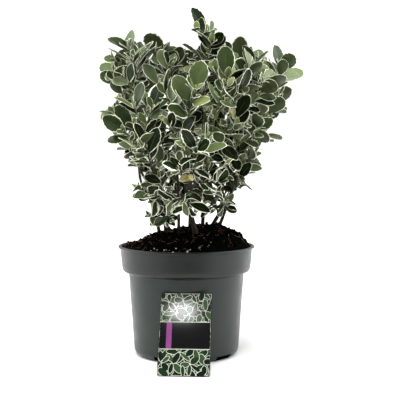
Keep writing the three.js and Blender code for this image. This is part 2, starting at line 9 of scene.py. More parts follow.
import bpy
import numpy as np
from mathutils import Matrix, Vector


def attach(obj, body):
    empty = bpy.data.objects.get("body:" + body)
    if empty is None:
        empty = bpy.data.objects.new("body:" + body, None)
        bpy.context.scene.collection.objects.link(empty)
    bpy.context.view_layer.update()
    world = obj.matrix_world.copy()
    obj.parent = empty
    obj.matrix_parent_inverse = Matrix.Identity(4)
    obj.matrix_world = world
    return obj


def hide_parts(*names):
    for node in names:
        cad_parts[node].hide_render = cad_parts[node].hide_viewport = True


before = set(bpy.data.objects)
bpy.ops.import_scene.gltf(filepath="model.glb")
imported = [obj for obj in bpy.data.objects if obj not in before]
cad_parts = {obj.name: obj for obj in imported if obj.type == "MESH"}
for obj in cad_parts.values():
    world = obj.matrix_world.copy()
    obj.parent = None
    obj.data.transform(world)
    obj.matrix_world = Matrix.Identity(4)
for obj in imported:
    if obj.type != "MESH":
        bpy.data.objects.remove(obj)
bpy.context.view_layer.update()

MM = 0.001
UP = np.array([0.0, 0.0, 1.0])
ALONG_X = np.array([1.0, 0.0, 0.0])
CLEAR = 0.3
FLANK_CLEAR = 0.37

# Pot
POT_HEIGHT = 152
RIM_RADIUS = 95
RIM_LIP = 3
BAND_TOP_RADIUS = 92
BAND_LOW_RADIUS = 89.5
BAND_HEIGHT = 38
STEP_HEIGHT = 5
BODY_TOP_RADIUS = 80.5
BASE_RADIUS = 73
BASE_ROUND = 9
POT_WALL = 1.6
POT_FLOOR = 8
NOTCHES = 5
NOTCH_FIRST_ANGLE = -44
NOTCH_WIDTH = 30
NOTCH_HEIGHT = 7
NOTCH_DEPTH = 9

# Soil
SOIL_BELOW_RIM = 5
MOUND_HEIGHT = 28
MOUND_SKEW = 0.56
STEM_SUNK = 12
STEM_SIDES = 6
BOUGH_SIDES = 5
STEM_FLARE = 0.15
BOUGH_FLARE = 0.15

# Card
CARD_WIDTH = 67.5
CARD_LENGTH = 112
CARD_THICKNESS = 0.7
CARD_LEAN = 30
CARD_TURN = -4.2
CARD_SLIDE = 6

# Twigs and leaves
INTERNODE = 18
SHOOT_RADIUS = 1.8
SIDE_SHOOT_RADIUS = 1.5
SHOOT_TIP_RADIUS = 1.2
SHOOT_SIDES = 3
SIDE_SHOOT_ANGLE = 48
SIDE_SHOOT_SHARE = 0.75
SHORTEST_SHOOT = 16
LONGEST_LEAF = 46
LEAF_WIDTH_SHARE = 0.55
LOW_LEAF_WIDTH = 0.72
LEAF_THICKNESS = 1.6
LEAF_DROOP = 0.1
LEAF_OPENING = [32, 46, 60, 70, 78]
LEAF_SIZE = [0.92, 1, 0.95, 0.86, 0.76]
LEAF_ROLL = 36
LOW_LEAF_ROLL = 75
LOW_LEAF_SIZE = 0.62
LEAF_FACING_OUT = 0.9
LOW_LEAF_FACING_OUT = 0.15
FULL_LEAF_HEIGHT = 390
LEAF_TRIES = 6
CROWN_MIDDLE = (15, 30)
SPACE_GAP = 0.5
LIMB_GAP = 0.8
LEAF_GAP = 0.7
POINT_STEP = 4
FLARE_REACH = 9
SPRING_LEAN = 0.6
BOUGH_LEAD = 0.45
SHOOT_LEAD = 0.4
SOIL_CLEAR = 2
RIM_CLEAR = 3
TIP_TO_NODE = 2
FIRST_NODES_CLOSER = 0.3
BARE_FOOT = 0.4
SIDE_SHOOT_FORWARD = 0.92
SIDE_SHOOT_RISE = 0.16
SHORTENED = 0.8
PETIOLE_SHARE = 0.06
LEAF_LENGTHS = (0.84, 1.04)
LEAF_WIDTHS = (0.9, 1.1)
SMALLER_EACH_TRY = 0.07

# Finer growth than the solids have
FINER_SHOOTS = 8
FINER_TRIES = 9
FINER_GAP = 0.25
FINER_REACH = 9
FINER_SPACE = 0.3
FINER_THICKNESS = 0.5
TWIGS_APART = 5
# The young pairs at a shoot's tip: how large they are and how far they open.
YOUNG_PAIRS = {-1: (0.42, 20), -2: (0.22, 11)}
# Nodes numbered from here on stand half-way between two others.
BETWEEN = 40
BETWEEN_SIZE = 0.82
LIMB_LEAVES_FROM = 208
LIMB_LEAF_STEP = 13
LIMB_LEAF_TRIES = 5
LIMB_LEAF_RADIUS = 1.6
LIMB_SHOOTS = 90

# Each stem: its foot on the soil, its tip, how far its middle bows, and its radius at foot and tip.
STEMS = {
    "stem_front": ((16, -47), (-2, -72, 258), (-3, 4, 0), (3.8, 2.1)),
    "stem_right": ((30, 10), (97, 5, 283), (2, 0, 4), (2.8, 1.8)),
    "stem_top": ((22, 28), (25, 2, 345), (3, -8, 0), (2.6, 1.8)),
    "stem_inner": ((-11, 12), (-20, 28, 326), (3, 0, 0), (2.3, 1.7)),
    "stem_left": ((-27, -16), (-50, -62, 284), (4, 6, 0), (2.7, 1.8)),
    "stem_left_back": ((-20, 3), (-57, -8, 325), (-4, 2, 0), (2.4, 1.7)),
    "stem_back": ((5, 48), (8, 75, 300), (0, 4, 0), (2.8, 1.8)),
    "stem_back_left": ((-35, 32), (-62, 62, 288), (-3, 4, 0), (2.6, 1.7)),
    "stem_back_right": ((42, 38), (84, 68, 285), (3, 2, 0), (2.6, 1.7)),
}

# Each bough: the stem that it leaves and how far along, its tip, and its radius at foot and tip.
BOUGHS = {
    "bough_left": ("stem_left", 0.6, (-66, -48, 274), (1.8, 1.6)),
    "bough_left_low": ("stem_left", 0.32, (-48, -42, 216), (1.8, 1.6)),
    "bough_right_front": ("stem_right", 0.36, (47, -52, 290), (2.0, 1.6)),
    "bough_centre_right": ("stem_front", 0.55, (28, -82, 268), (1.9, 1.6)),
    "bough_right_back": ("stem_right", 0.6, (80, 44, 316), (1.9, 1.6)),
    "bough_back": ("stem_back", 0.5, (20, 100, 262), (1.9, 1.6)),
    "bough_back_left": ("stem_back_left", 0.45, (-68, 46, 254), (1.8, 1.6)),
}

# Each mass of foliage: the pieces that it is part of, the limb that bears it and how far along, its top, its
# side shoots and its first turn.
MASSES = {
    "crown_top": ("upper", "stem_top", 1, (25, -1, 445), 3, 2.9),
    "crown_left_top": ("upper", "stem_left_back", 1, (-76, -15, 419), 4, 0.9),
    "crown_left_high": ("upper", "stem_left_back", 0.78, (-98, 34, 393), 3, 1.8),
    "crown_left_back": ("lower", "stem_left_back", 0.42, (-61, 14, 282), 2, 2),
    "crown_inner_top": ("upper", "stem_inner", 1, (-33, 33, 419), 3, 2.7),
    "crown_inner": ("lower", "stem_inner", 0.5, (-37, 53, 322), 4, 0.2),
    "crown_left": ("front", "bough_left", 1, (-71, -73, 313), 3, 0.5),
    "crown_left_front": ("front", "stem_left", 1, (-67, -70, 340), 4, 2.5),
    "crown_left_low_front": ("front", "stem_left", 0.62, (-52, -106, 293), 5, 0.5),
    "crown_centre": ("front", "stem_front", 1, (9, -128, 358), 4, 5.4),
    "crown_centre_left": ("front", "stem_front", 0.78, (13, -147, 286), 5, 0.8),
    "crown_centre_right": ("front", "bough_centre_right", 1, (51, -125, 375), 5, 1.2),
    "crown_right_top": ("upper", "bough_right_front", 1, (85, -54, 392), 5, 2.8),
    "crown_right_back_top": ("upper", "bough_right_back", 1, (74, 53, 412), 5, 0.8),
    "crown_right_end": ("upper", "stem_right", 1, (130, -2, 396), 3, 2.5),
    "crown_right_front": ("front", "bough_right_front", 0.7, (61, -91, 325), 5, 0.1),
    "crown_right_middle": ("front", "stem_right", 0.8, (114, -7, 338), 4, 2.7),
    "crown_middle": ("front", "stem_top", 0.55, (52, -27, 333), 5, 1.7),
    "crown_centre_low": ("lower", "stem_front", 0.68, (-4, -117, 221), 3, 1.3),
    "crown_centre_right_low": ("lower", "bough_centre_right", 0.45, (18, -45, 271), 2, 0.4),
    "crown_left_low": ("lower", "bough_left", 0.5, (-36, -24, 294), 4, 1.9),
    "crown_low_left": ("lower", "bough_left_low", 1, (-39, -53, 261), 2, 2.7),
    "crown_low_front": ("lower", "stem_left", 0.25, (-32, -92, 257), 5, 1.2),
    "crown_bottom_left": ("lower", "stem_left_back", 0.16, (-50, 8, 191), 5, 0.2),
    "crown_bottom_right": ("lower", "stem_right", 0.22, (35, -35, 225), 4, 0.8),
    "crown_right_low": ("lower", "stem_right", 0.5, (86, -17, 274), 4, 2.3),
    "crown_back_top": ("back", "stem_back", 1, (-2, 81, 414), 5, 2.8),
    "crown_back_left_top": ("back", "stem_back_left", 1, (-77, 78, 416), 5, 1.7),
    "crown_back_right_top": ("back", "stem_back_right", 1, (107, 101, 378), 4, 0.3),
    "crown_back_left": ("back", "bough_back_left", 1, (-101, 40, 334), 2, 0.9),
    "crown_back": ("back", "bough_back", 1, (24, 112, 362), 4, 0.5),
    "crown_back_right": ("back", "stem_back_right", 0.6, (87, 127, 296), 5, 2),
    "crown_back_low": ("back", "stem_back", 0.36, (-17, 102, 231), 3, 1.6),
    "crown_back_low_left": ("back", "stem_back_left", 0.25, (-37, 68, 232), 4, 0.2),
    "crown_back_low_right": ("back", "stem_back_right", 0.3, (56, 41, 244), 4, 2.1),
}


# Seeded chance

WORD = 0xFFFFFFFF
HASH_START = 2166136261
HASH_FACTOR = 16777619
KEY_OFFSET = 1013
MIXING = ((15, 2246822507), (13, 3266489909), (16, 1))
LATTICE_MIXING = ((15, 2246822507), (13, 1))


def chance(*keys, mixing=MIXING):
    """A number from 0 to 1 that depends only on the whole numbers given, or on arrays of them."""
    mixed = HASH_START
    for key in keys:
        mixed = ((mixed ^ ((key + KEY_OFFSET) & WORD)) * HASH_FACTOR) & WORD
    for shift, factor in mixing:
        mixed = ((mixed ^ (mixed >> shift)) * factor) & WORD
    return mixed / (WORD + 1)


def between(low, high, *keys):
    return low + (high - low) * chance(*keys)


def noise(x, y, cell, seed):
    """Smooth value noise from -1 to 1 on a plane, with lumps about a cell across."""
    x, y = x / cell, y / cell
    left, low = np.floor(x).astype(np.int64), np.floor(y).astype(np.int64)
    across, along = x - left, y - low
    across, along = across * across * (3 - 2 * across), along * along * (3 - 2 * along)
    corners = [chance(left + i, low + j, seed, mixing=LATTICE_MIXING) for j in (0, 1) for i in (0, 1)]
    bottom = corners[0] + (corners[1] - corners[0]) * across
    top = corners[2] + (corners[3] - corners[2]) * across
    return (bottom + (top - bottom) * along) * 2 - 1


# Vectors

def dot(a, b):
    return float(a[0] * b[0] + a[1] * b[1] + a[2] * b[2])


def cross(a, b):
    return np.array([a[1] * b[2] - a[2] * b[1], a[2] * b[0] - a[0] * b[2], a[0] * b[1] - a[1] * b[0]])


def size_of(v):
    return math.sqrt(dot(v, v))


def unit(v):
    return v / size_of(v)


def square_to(along, v):
    """The part of a vector that is square to a unit vector, made one long."""
    return unit(v - along * dot(v, along))


def vector(numbers):
    return np.array(numbers, dtype=float)


def rows_unit(rows):
    return rows / np.linalg.norm(rows, axis=-1, keepdims=True)


# Limbs

def half_up(number):
    return math.floor(number + 0.5)


def even_shares(steps):
    return np.arange(steps + 1) / steps


def circle(sides):
    """The angles of a ring's corners."""
    return np.arange(sides) / sides * 2 * math.pi


class Path:
    """A path that bends once, from start by way of control to end."""

    def __init__(self, start, control, end):
        self.start, self.control, self.end = start, control, end
        chord = unit(end - start)
        level = cross(chord, UP)
        self.side = square_to(chord, level if size_of(level) > 0.2 else ALONG_X)
        self.length = size_of(end - start)

    def point(self, share):
        rest = 1 - share
        return self.start * rest**2 + self.control * (2 * rest * share) + self.end * share**2

    def points(self, shares):
        return self.point(np.asarray(shares, dtype=float)[:, None])

    def spaced(self):
        """Shares of the way along, about POINT_STEP apart."""
        return even_shares(half_up(self.length / POINT_STEP))

    def spaced_points(self):
        return self.points(self.spaced())

    def station(self, share):
        """The point a share of the way along, with the heading there and the two directions of its ring."""
        heading = unit((self.control - self.start) * (1 - share) + (self.end - self.control) * share)
        side = square_to(heading, self.side)
        return self.point(share), heading, side, cross(side, heading)

    def rings(self, shares):
        """The same for many shares, as rows."""
        shares = np.asarray(shares, dtype=float)[:, None]
        headings = rows_unit((self.control - self.start) * (1 - shares) + (self.end - self.control) * shares)
        sides = rows_unit(self.side - headings * (headings @ self.side)[:, None])
        return self.point(shares), headings, sides, np.cross(sides, headings)


def limb_radius(limb, share):
    """The radius of a limb a share of the way along, with its root flare."""
    foot, tip = limb["radius"]
    flare = limb["flare"] * np.exp(-share * limb["path"].length / FLARE_REACH)
    return (foot + (tip - foot) * share) * (1 + flare)


def ring_reach(side, other, sides, radius, direction):
    """How far the corners of a path's ring reach in a direction."""
    turns = [i / sides * math.pi * 2 for i in range(sides + 1)]
    reaches = [dot(side, direction) * math.sin(t) + dot(other, direction) * math.cos(t) for t in turns]
    return radius * max(reaches)


def spring_point(limb, at, target, radius, sides):
    """Where something springs from a limb's flank towards a target, just clear of the limb's solid."""
    point, heading, side, other = limb["path"].station(at)
    if at == 1:
        return point + heading * CLEAR, heading
    out = square_to(heading, target - point)
    lead = unit(out + heading * SPRING_LEAN)
    _, _, foot_side, foot_other = Path(point, point + lead, target).station(0)
    limb_reach = ring_reach(side, other, limb["sides"], limb_radius(limb, at), out)
    away = limb_reach + FLANK_CLEAR + ring_reach(foot_side, foot_other, sides, radius, -out)
    return point + out * away, lead


def soil_top(x, y):
    """The height of the soil's surface, without its lumps."""
    share = np.minimum(np.hypot(x, y) / BAND_TOP_RADIUS, 1)
    dome = MOUND_HEIGHT * (1 - share**3) * (1 + MOUND_SKEW * x / BAND_TOP_RADIUS)
    return POT_HEIGHT - SOIL_BELOW_RIM + dome


limbs = {}
for name, (foot, tip, bow, radius) in STEMS.items():
    start, end = vector((*foot, soil_top(*foot) - STEM_SUNK)), vector(tip)
    path = Path(start, (start + end) / 2 + vector(bow) * 2, end)
    limbs[name] = {"path": path, "radius": radius, "flare": STEM_FLARE, "sides": STEM_SIDES, "bough": False}

for name, (source, at, tip, radius) in BOUGHS.items():
    end = vector(tip)
    start, lead = spring_point(limbs[source], at, end, radius[0] * (1 + BOUGH_FLARE), BOUGH_SIDES)
    path = Path(start, start + lead * size_of(end - start) * BOUGH_LEAD, end)
    limbs[name] = {"path": path, "radius": radius, "flare": BOUGH_FLARE, "sides": BOUGH_SIDES, "bough": True}

limb_points = np.concatenate([limb["path"].spaced_points() for limb in limbs.values()])
limb_radii = np.concatenate([limb_radius(limb, limb["path"].spaced()) for limb in limbs.values()])


# Foliage: the rule

masses, line_starts, line_legs = [], [], []
for index, (name, (region, source, at, tip, side_shoots, turn)) in enumerate(MASSES.items()):
    end = vector(tip)
    start, lead = spring_point(limbs[source], at, end, SHOOT_RADIUS, SHOOT_SIDES)
    path = Path(start, start + lead * size_of(end - start) * SHOOT_LEAD, end)
    line_starts.append(start)
    line_legs.append(end + unit(end - start) * (LONGEST_LEAF / 2) - start)
    masses.append({"name": name, "region": region, "index": index, "side_shoots": side_shoots, "turn": turn,
                   "path": path, "limb": limbs[source], "at_tip": at == 1, "shoots": [], "grown": []})

line_starts, line_legs = np.array(line_starts), np.array(line_legs)
line_squares = (line_legs**2).sum(axis=1)


def line_distances(points):
    """How far each point is from each mass's own line."""
    away = points[:, None, :] - line_starts
    share = np.clip((away * line_legs).sum(axis=2) / line_squares, 0, 1)
    return np.linalg.norm(away - share[:, :, None] * line_legs, axis=2)


def inside_space(mass, points, gap=SPACE_GAP):
    """Whether every point is clear of the soil and nearer to the mass's own line than to any other's."""
    floor = np.maximum(soil_top(points[:, 0], points[:, 1]) + SOIL_CLEAR, POT_HEIGHT + RIM_CLEAR)
    if (points[:, 2] < floor).any():
        return False
    distance = line_distances(points)
    own = distance[:, mass["index"]].copy()
    distance[:, mass["index"]] = np.inf
    return bool((distance.min(axis=1) > own + gap).all())


def nodes_of(path, segments, radius_at, offset=0.0):
    """The nodes of a shoot, each a distance from its tip, set on the straight lines between its rings."""
    nodes = []
    while True:
        k = len(nodes) + offset
        share = 1 - (TIP_TO_NODE + INTERNODE * (k - FIRST_NODES_CLOSER * min(k, 1))) / path.length
        if share * path.length < INTERNODE * BARE_FOOT:
            return nodes
        ring = min(math.floor(share * segments), segments - 1)
        low, high = path.point(ring / segments), path.point((ring + 1) / segments)
        heading = unit(high - low)
        side = square_to(heading, path.side)
        point = low + (high - low) * (share * segments - ring)
        nodes.append({"point": point, "heading": heading, "side": side, "other": cross(side, heading),
                      "radius": radius_at(share), "share": share})


def outward(station, turn):
    """The direction square to a shoot in which a leaf or side shoot stands, for a turn about the shoot."""
    return station["side"] * math.cos(turn) + station["other"] * math.sin(turn)


def side_shoot(mass, order, keep_off):
    """A side shoot from a node of the main shoot, shortened to fit the mass's space, or nothing."""
    nodes = mass["shoots"][0]["nodes"]
    node = len(nodes) - 1 - order % max(1, len(nodes) - 1)
    if node < 0:
        return None
    station = nodes[node]
    turn = mass["turn"] + node * math.pi / 2 + (order % 2) * math.pi
    angle = math.radians(SIDE_SHOOT_ANGLE + between(-8, 8, mass["index"], order, 1))
    if keep_off:
        turn += between(0.6, 1.4, mass["index"], order, 2)
    lead = station["heading"] * math.cos(angle) + outward(station, turn) * math.sin(angle)
    length = mass["path"].length * (1 - station["share"]) * SIDE_SHOOT_SHARE + SHORTEST_SHOOT * SHORTENED
    while length > SHORTEST_SHOOT:
        start = station["point"]
        end = start + lead * (length * SIDE_SHOOT_FORWARD) + UP * (length * SIDE_SHOOT_RISE)
        path = Path(start, (start + end) / 2, end)
        points = path.points([0.25, 0.5, 0.75, 1])
        gaps = np.linalg.norm(points[:, None, :] - limb_points, axis=2) - limb_radii
        clear = bool((gaps > SIDE_SHOOT_RADIUS + 2 * LIMB_GAP).all())
        if clear and inside_space(mass, points) and not (keep_off and keep_off(points)):
            return path
        length *= SHORTENED
    return None


def out_of_crown(point):
    """The level direction from the middle of the crown to a point."""
    x, y = point[0] - CROWN_MIDDLE[0], point[1] - CROWN_MIDDLE[1]
    return np.array([x, y, 0]) / (math.hypot(x, y) + 5)


def blade_reach(share):
    """How far a blade reaches to either side, as a share of half its width."""
    rise = np.clip(share, 0, 1) ** 1.25
    return 2.2 * np.sqrt(np.maximum(rise * (1 - rise), 0))


# Points spread over a blade and its rim: their shares of its length, and how far aside they are.
SPREAD = [(share, aside) for share in (0.18, 0.34, 0.5, 0.66, 0.8, 0.92) for aside in (-1, -0.5, 0, 0.5, 1)]
SPREAD_SHARES, SPREAD_ASIDE = np.array([*SPREAD, (1, 0)], dtype=float).T[:, :, None]
SPREAD_ASIDE = SPREAD_ASIDE * blade_reach(SPREAD_SHARES)


def leaf_frame(mass, shoot, node, side, attempt):
    """One leaf: its root, its directions along, up from and across the blade, its size, and points on it."""
    keys = (mass["index"], shoot["order"], node, side, attempt)
    station = shoot["between"][node - BETWEEN] if node >= BETWEEN else shoot["nodes"][max(node, 0)]
    point = station["point"]
    rank = min(max(node % BETWEEN, 0), len(LEAF_SIZE) - 1)
    share = min(max((point[2] - POT_HEIGHT) / (FULL_LEAF_HEIGHT - POT_HEIGHT), 0), 1)
    height = share * share * (3 - 2 * share)
    size, opening = LEAF_SIZE[rank], LEAF_OPENING[rank]
    if node >= BETWEEN:
        size *= BETWEEN_SIZE
    if node < 0:
        size, opening = YOUNG_PAIRS[node]
        point = shoot["path"].end - station["heading"] * 0.3

    def by_height(low, high):
        return low + (high - low) * height

    size *= by_height(LOW_LEAF_SIZE, 1)
    turn = mass["turn"] + node * math.pi / 2 + side * math.pi + between(-0.35, 0.35, *keys, 1)
    angle = math.radians(opening + between(-10, 14, *keys, 2))
    along = station["heading"] * math.cos(angle) + outward(station, turn) * math.sin(angle)
    facing_out = by_height(LOW_LEAF_FACING_OUT, LEAF_FACING_OUT)
    light = station["heading"] + UP * 0.5 + out_of_crown(station["point"]) * facing_out
    level = square_to(along, light)
    across = cross(level, along)
    roll = math.radians(by_height(LOW_LEAF_ROLL, LEAF_ROLL)) * between(-1, 1, *keys, 3)
    up = level * math.cos(roll) + across * math.sin(roll)
    across = cross(up, along)
    length = LONGEST_LEAF * size * between(*LEAF_LENGTHS, *keys, 4) * (1 - SMALLER_EACH_TRY * attempt)
    width = length * (LEAF_WIDTH_SHARE * by_height(LOW_LEAF_WIDTH, 1)) * between(*LEAF_WIDTHS, *keys, 5)
    root = point - along * (0.42 * station["radius"] / math.sin(max(angle, 0.3)))
    points = (root + along * (SPREAD_SHARES * length) + across * (SPREAD_ASIDE * width / 2)
              - up * (LEAF_DROOP * length * SPREAD_SHARES**2))
    return {"root": root, "along": along, "up": up, "across": across, "length": length, "width": width,
            "points": points, "keys": keys, "young": node < 0, "full": 0 <= node < BETWEEN}


def touches(leaf, points, radii, root_share, thickness=LEAF_THICKNESS):
    """Whether any round thing touches the blade, beyond the share of its length next to the root."""
    rows = points - leaf["root"]
    share = rows @ leaf["along"] / leaf["length"]
    near = (share >= root_share) & (share <= 1 + radii / leaf["length"])
    near &= np.abs(rows @ leaf["across"]) <= leaf["width"] / 2 * blade_reach(share) + radii
    height = rows @ leaf["up"] + LEAF_DROOP * leaf["length"] * share**2
    return bool((near & (height > -radii) & (height < radii + thickness)).any())


def clear_of(leaf, others, gap, thickness):
    """Whether a leaf touches none of the others."""
    for other in others:
        if size_of(other["root"] - leaf["root"]) > other["length"] + leaf["length"] + 3:
            continue
        if (touches(leaf, other["points"], gap, PETIOLE_SHARE, thickness)
                or touches(other, leaf["points"], gap, PETIOLE_SHARE, thickness)):
            return False
    return True


def leaf_fits(mass, leaf, gap=LEAF_GAP, space=SPACE_GAP, thickness=LEAF_THICKNESS):
    """Whether a leaf keeps to its mass's space and clear of limbs, twigs and the mass's other leaves."""
    return (inside_space(mass, leaf["points"], space)
            and not touches(leaf, limb_points, limb_radii + LIMB_GAP, -0.1)
            and not touches(leaf, mass["twig_points"], SIDE_SHOOT_RADIUS, 0.2)
            and clear_of(leaf, mass["grown"], gap, thickness))


all_leaves, taken = [], set()


def grow_pair(mass, shoot, node, tries, fits):
    """A pair of leaves at a node, each the first of its tries that fits."""
    for side in (0, 1):
        place = (mass["index"], shoot["order"], node, side)
        for attempt in range(0 if place in taken else tries):
            leaf = leaf_frame(mass, shoot, node, side, attempt)
            if fits(leaf):
                mass["grown"].append(leaf)
                all_leaves.append(leaf)
                taken.add(place)
                break


def add_shoot(mass, path, order, foot, segments):
    """A shoot along a path, with its nodes and the places half-way between them."""
    def radius_at(share):
        return foot + (SHOOT_TIP_RADIUS - foot) * share
    mass["shoots"].append({"path": path, "order": order, "nodes": nodes_of(path, segments, radius_at),
                           "between": nodes_of(path, segments, radius_at, 0.5)})
    mass["twig_points"] = np.concatenate([shoot["path"].spaced_points() for shoot in mass["shoots"]])


def add_side_shoots(mass, orders, keep_off=None):
    for order in orders:
        path = side_shoot(mass, order, keep_off)
        if path:
            add_shoot(mass, path, order + 1, SIDE_SHOOT_RADIUS, 1)


for mass in masses:
    add_shoot(mass, mass["path"], 0, SHOOT_RADIUS, max(2, half_up(mass["path"].length / 30)))
    add_side_shoots(mass, range(mass["side_shoots"]))
    for shoot in mass["shoots"]:
        for node in range(len(shoot["nodes"])):
            grow_pair(mass, shoot, node, LEAF_TRIES, lambda leaf: leaf_fits(mass, leaf))

source_points = np.concatenate([leaf["points"] for leaf in all_leaves])
print("leaves of the rule", len(all_leaves))


# Foliage: finer growth

def among_leaves(point):
    """Whether a point is close to a leaf of the source, so that open places stay open."""
    return bool((((source_points - point)**2).sum(axis=1) < FINER_REACH**2).any())


def tip_of(leaf):
    return leaf["root"] + leaf["along"] * leaf["length"]


def grow_finer(mass):
    """Further side shoots, small leaves where a large one didn't fit, and the young pairs at the tips."""
    def keep_off(points):
        ends = points[1:]
        return (any(touches(leaf, ends, 1.0, 0.05, FINER_THICKNESS) for leaf in mass["grown"])
                or not among_leaves(ends[-1])
                or (np.linalg.norm(ends[:, None, :] - mass["twig_points"], axis=2) <= TWIGS_APART).any())

    def fits(leaf):
        return leaf["young"] or (among_leaves(tip_of(leaf))
                                 and leaf_fits(mass, leaf, FINER_GAP, FINER_SPACE, FINER_THICKNESS))

    first = mass["side_shoots"]
    add_side_shoots(mass, range(first, first + FINER_SHOOTS), keep_off)
    for shoot in mass["shoots"]:
        if shoot["nodes"]:
            for node in range(-len(YOUNG_PAIRS), len(shoot["nodes"])):
                grow_pair(mass, shoot, node, 2 if node < 0 else FINER_TRIES, fits)
            for node in range(len(shoot["between"])):
                grow_pair(mass, shoot, BETWEEN + node, FINER_TRIES, fits)


def grow_on_limb(number, limb):
    """Leaf pairs that stand on a stem or bough itself, inside the crown."""
    def fits(leaf):
        return (not touches(leaf, limb_points, limb_radii + 0.2, 0.16) and among_leaves(tip_of(leaf))
                and leaf["points"][:, 2].min() >= LIMB_LEAVES_FROM - 15
                and clear_of(leaf, all_leaves, FINER_GAP, FINER_THICKNESS))

    path = limb["path"]
    for node in range(1, int(path.length / LIMB_LEAF_STEP)):
        share = 1 - node * LIMB_LEAF_STEP / path.length
        point, heading, side, other = path.station(share)
        if point[2] < LIMB_LEAVES_FROM or share < 0.1:
            continue
        station = {"point": point, "heading": heading, "side": side, "other": other,
                   "radius": float(limb_radius(limb, share)) * LIMB_LEAF_RADIUS}
        shoot = {"order": LIMB_SHOOTS + number, "between": {2 * node: station}}
        mass = masses[int(np.argmin(line_distances(point[None])[0]))]
        grow_pair(mass, shoot, BETWEEN + 2 * node, LIMB_LEAF_TRIES, fits)


for mass in masses:
    grow_finer(mass)
for number, limb in enumerate(limbs.values()):
    grow_on_limb(number, limb)
print("leaves in all", len(all_leaves))


# Meshes

OTHER_WAY_ROUND = [0, 3, 2, 1]


def ring_quads(rows, turns):
    """The faces between rows of closed rings of points."""
    row, turn = np.meshgrid(np.arange(rows - 1), np.arange(turns), indexing="ij")
    here, there = row * turns + turn, row * turns + (turn + 1) % turns
    return np.stack([here, there, there + turns, here + turns], axis=-1).reshape(-1, 4)


class Mesh:
    """Points and faces gathered for one piece, each face with a material's number."""

    def __init__(self):
        self.points, self.faces, self.numbers, self.count = [], [], [], 0

    def add(self, points, *groups):
        """Points as rows in millimetres, and groups of faces, one row each, with their material numbers."""
        for faces, numbers in groups:
            self.faces.append(np.asarray(faces, dtype=np.int64) + self.count)
            self.numbers.append(np.broadcast_to(np.asarray(numbers, dtype=np.int64), (len(faces),)))
        self.points.append(np.asarray(points, dtype=float).reshape(-1, 3))
        self.count += len(self.points[-1])

    def add_rings(self, rows, centres, numbers, other_way=False):
        """A closed body of rings, with a fan from a centre at each end; numbers are the bands' materials."""
        count, turns = rows.shape[:2]
        numbers = np.repeat(np.broadcast_to(numbers, count - 1), turns)
        spin, final, centre = np.arange(turns), (count - 1) * turns, np.full(turns, count * turns)
        on = (spin + 1) % turns
        quads = ring_quads(count, turns)
        fans = np.concatenate([np.stack([centre, on, spin], axis=-1),
                               np.stack([centre + 1, final + spin, final + on], axis=-1)])
        if other_way:
            quads, fans = quads[:, OTHER_WAY_ROUND], fans[:, [0, 2, 1]]
        self.add(np.concatenate([rows.reshape(-1, 3), centres]), (quads, numbers), (fans, numbers[0]))

    def add_tube(self, path, shares, radii, sides, numbers):
        """A closed tube along a path. Radii are one for each ring, or one for each corner of each ring."""
        centres, _, side, other = path.rings(shares)
        turns = circle(sides)
        radii = np.asarray(radii, dtype=float).reshape(len(centres), -1)
        points = (centres[:, None, :] + side[:, None, :] * (np.cos(turns) * radii)[:, :, None]
                  + other[:, None, :] * (np.sin(turns) * radii)[:, :, None])
        numbers = np.repeat(np.broadcast_to(numbers, len(centres))[:-1], sides)
        ends = np.array([np.arange(sides), (len(centres) - 1) * sides + np.arange(sides)[::-1]])
        quads = ring_quads(len(centres), sides)[:, OTHER_WAY_ROUND]
        self.add(points, (quads, numbers), (ends, numbers[[0, -1]]))

    def data(self, name, materials):
        """The gathered points and faces as mesh data in metres."""
        mesh = bpy.data.meshes.new(name)
        points = np.concatenate(self.points) * MM
        sizes = np.concatenate([np.full(len(faces), faces.shape[1]) for faces in self.faces])
        loops = np.concatenate([faces.ravel() for faces in self.faces])
        mesh.vertices.add(len(points))
        mesh.vertices.foreach_set("co", points.astype(np.float32).ravel())
        mesh.loops.add(len(loops))
        mesh.loops.foreach_set("vertex_index", loops.astype(np.int32))
        mesh.polygons.add(len(sizes))
        starts = np.concatenate([[0], np.cumsum(sizes)[:-1]])
        mesh.polygons.foreach_set("loop_start", starts.astype(np.int32))
        mesh.polygons.foreach_set("material_index", np.concatenate(self.numbers).astype(np.int32))
        mesh.update(calc_edges=True)
        mesh.validate()
        for material in materials:
            mesh.materials.append(material)
        print("mesh", name, "triangles", int((sizes - 2).sum()))
        return mesh

    def piece(self, name, materials, slot, replaced, sharp):
        """The mesh as a piece of the part, in place of the solids named, with edges over this angle sharp."""
        mesh = self.data(name, materials)
        mesh.polygons.foreach_set("use_smooth", np.ones(len(mesh.polygons), dtype=bool))
        mesh.set_sharp_from_angle(angle=math.radians(sharp))
        piece = linked(name, mesh)
        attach(piece, "root")
        if replaced:
            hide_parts(*replaced)
        return piece


def linked(name, data):
    """A new object in the scene."""
    thing = bpy.data.objects.new(name, data)
    bpy.context.scene.collection.objects.link(thing)
    return thing


# Materials

TONE_SPREAD = 0.5
COAT_ROUGHNESS = 0.07


def set_values(node, **values):
    """Sets a node's inputs, named with _ for each space."""
    for name, value in values.items():
        node.inputs[name.replace("_", " ")].default_value = value


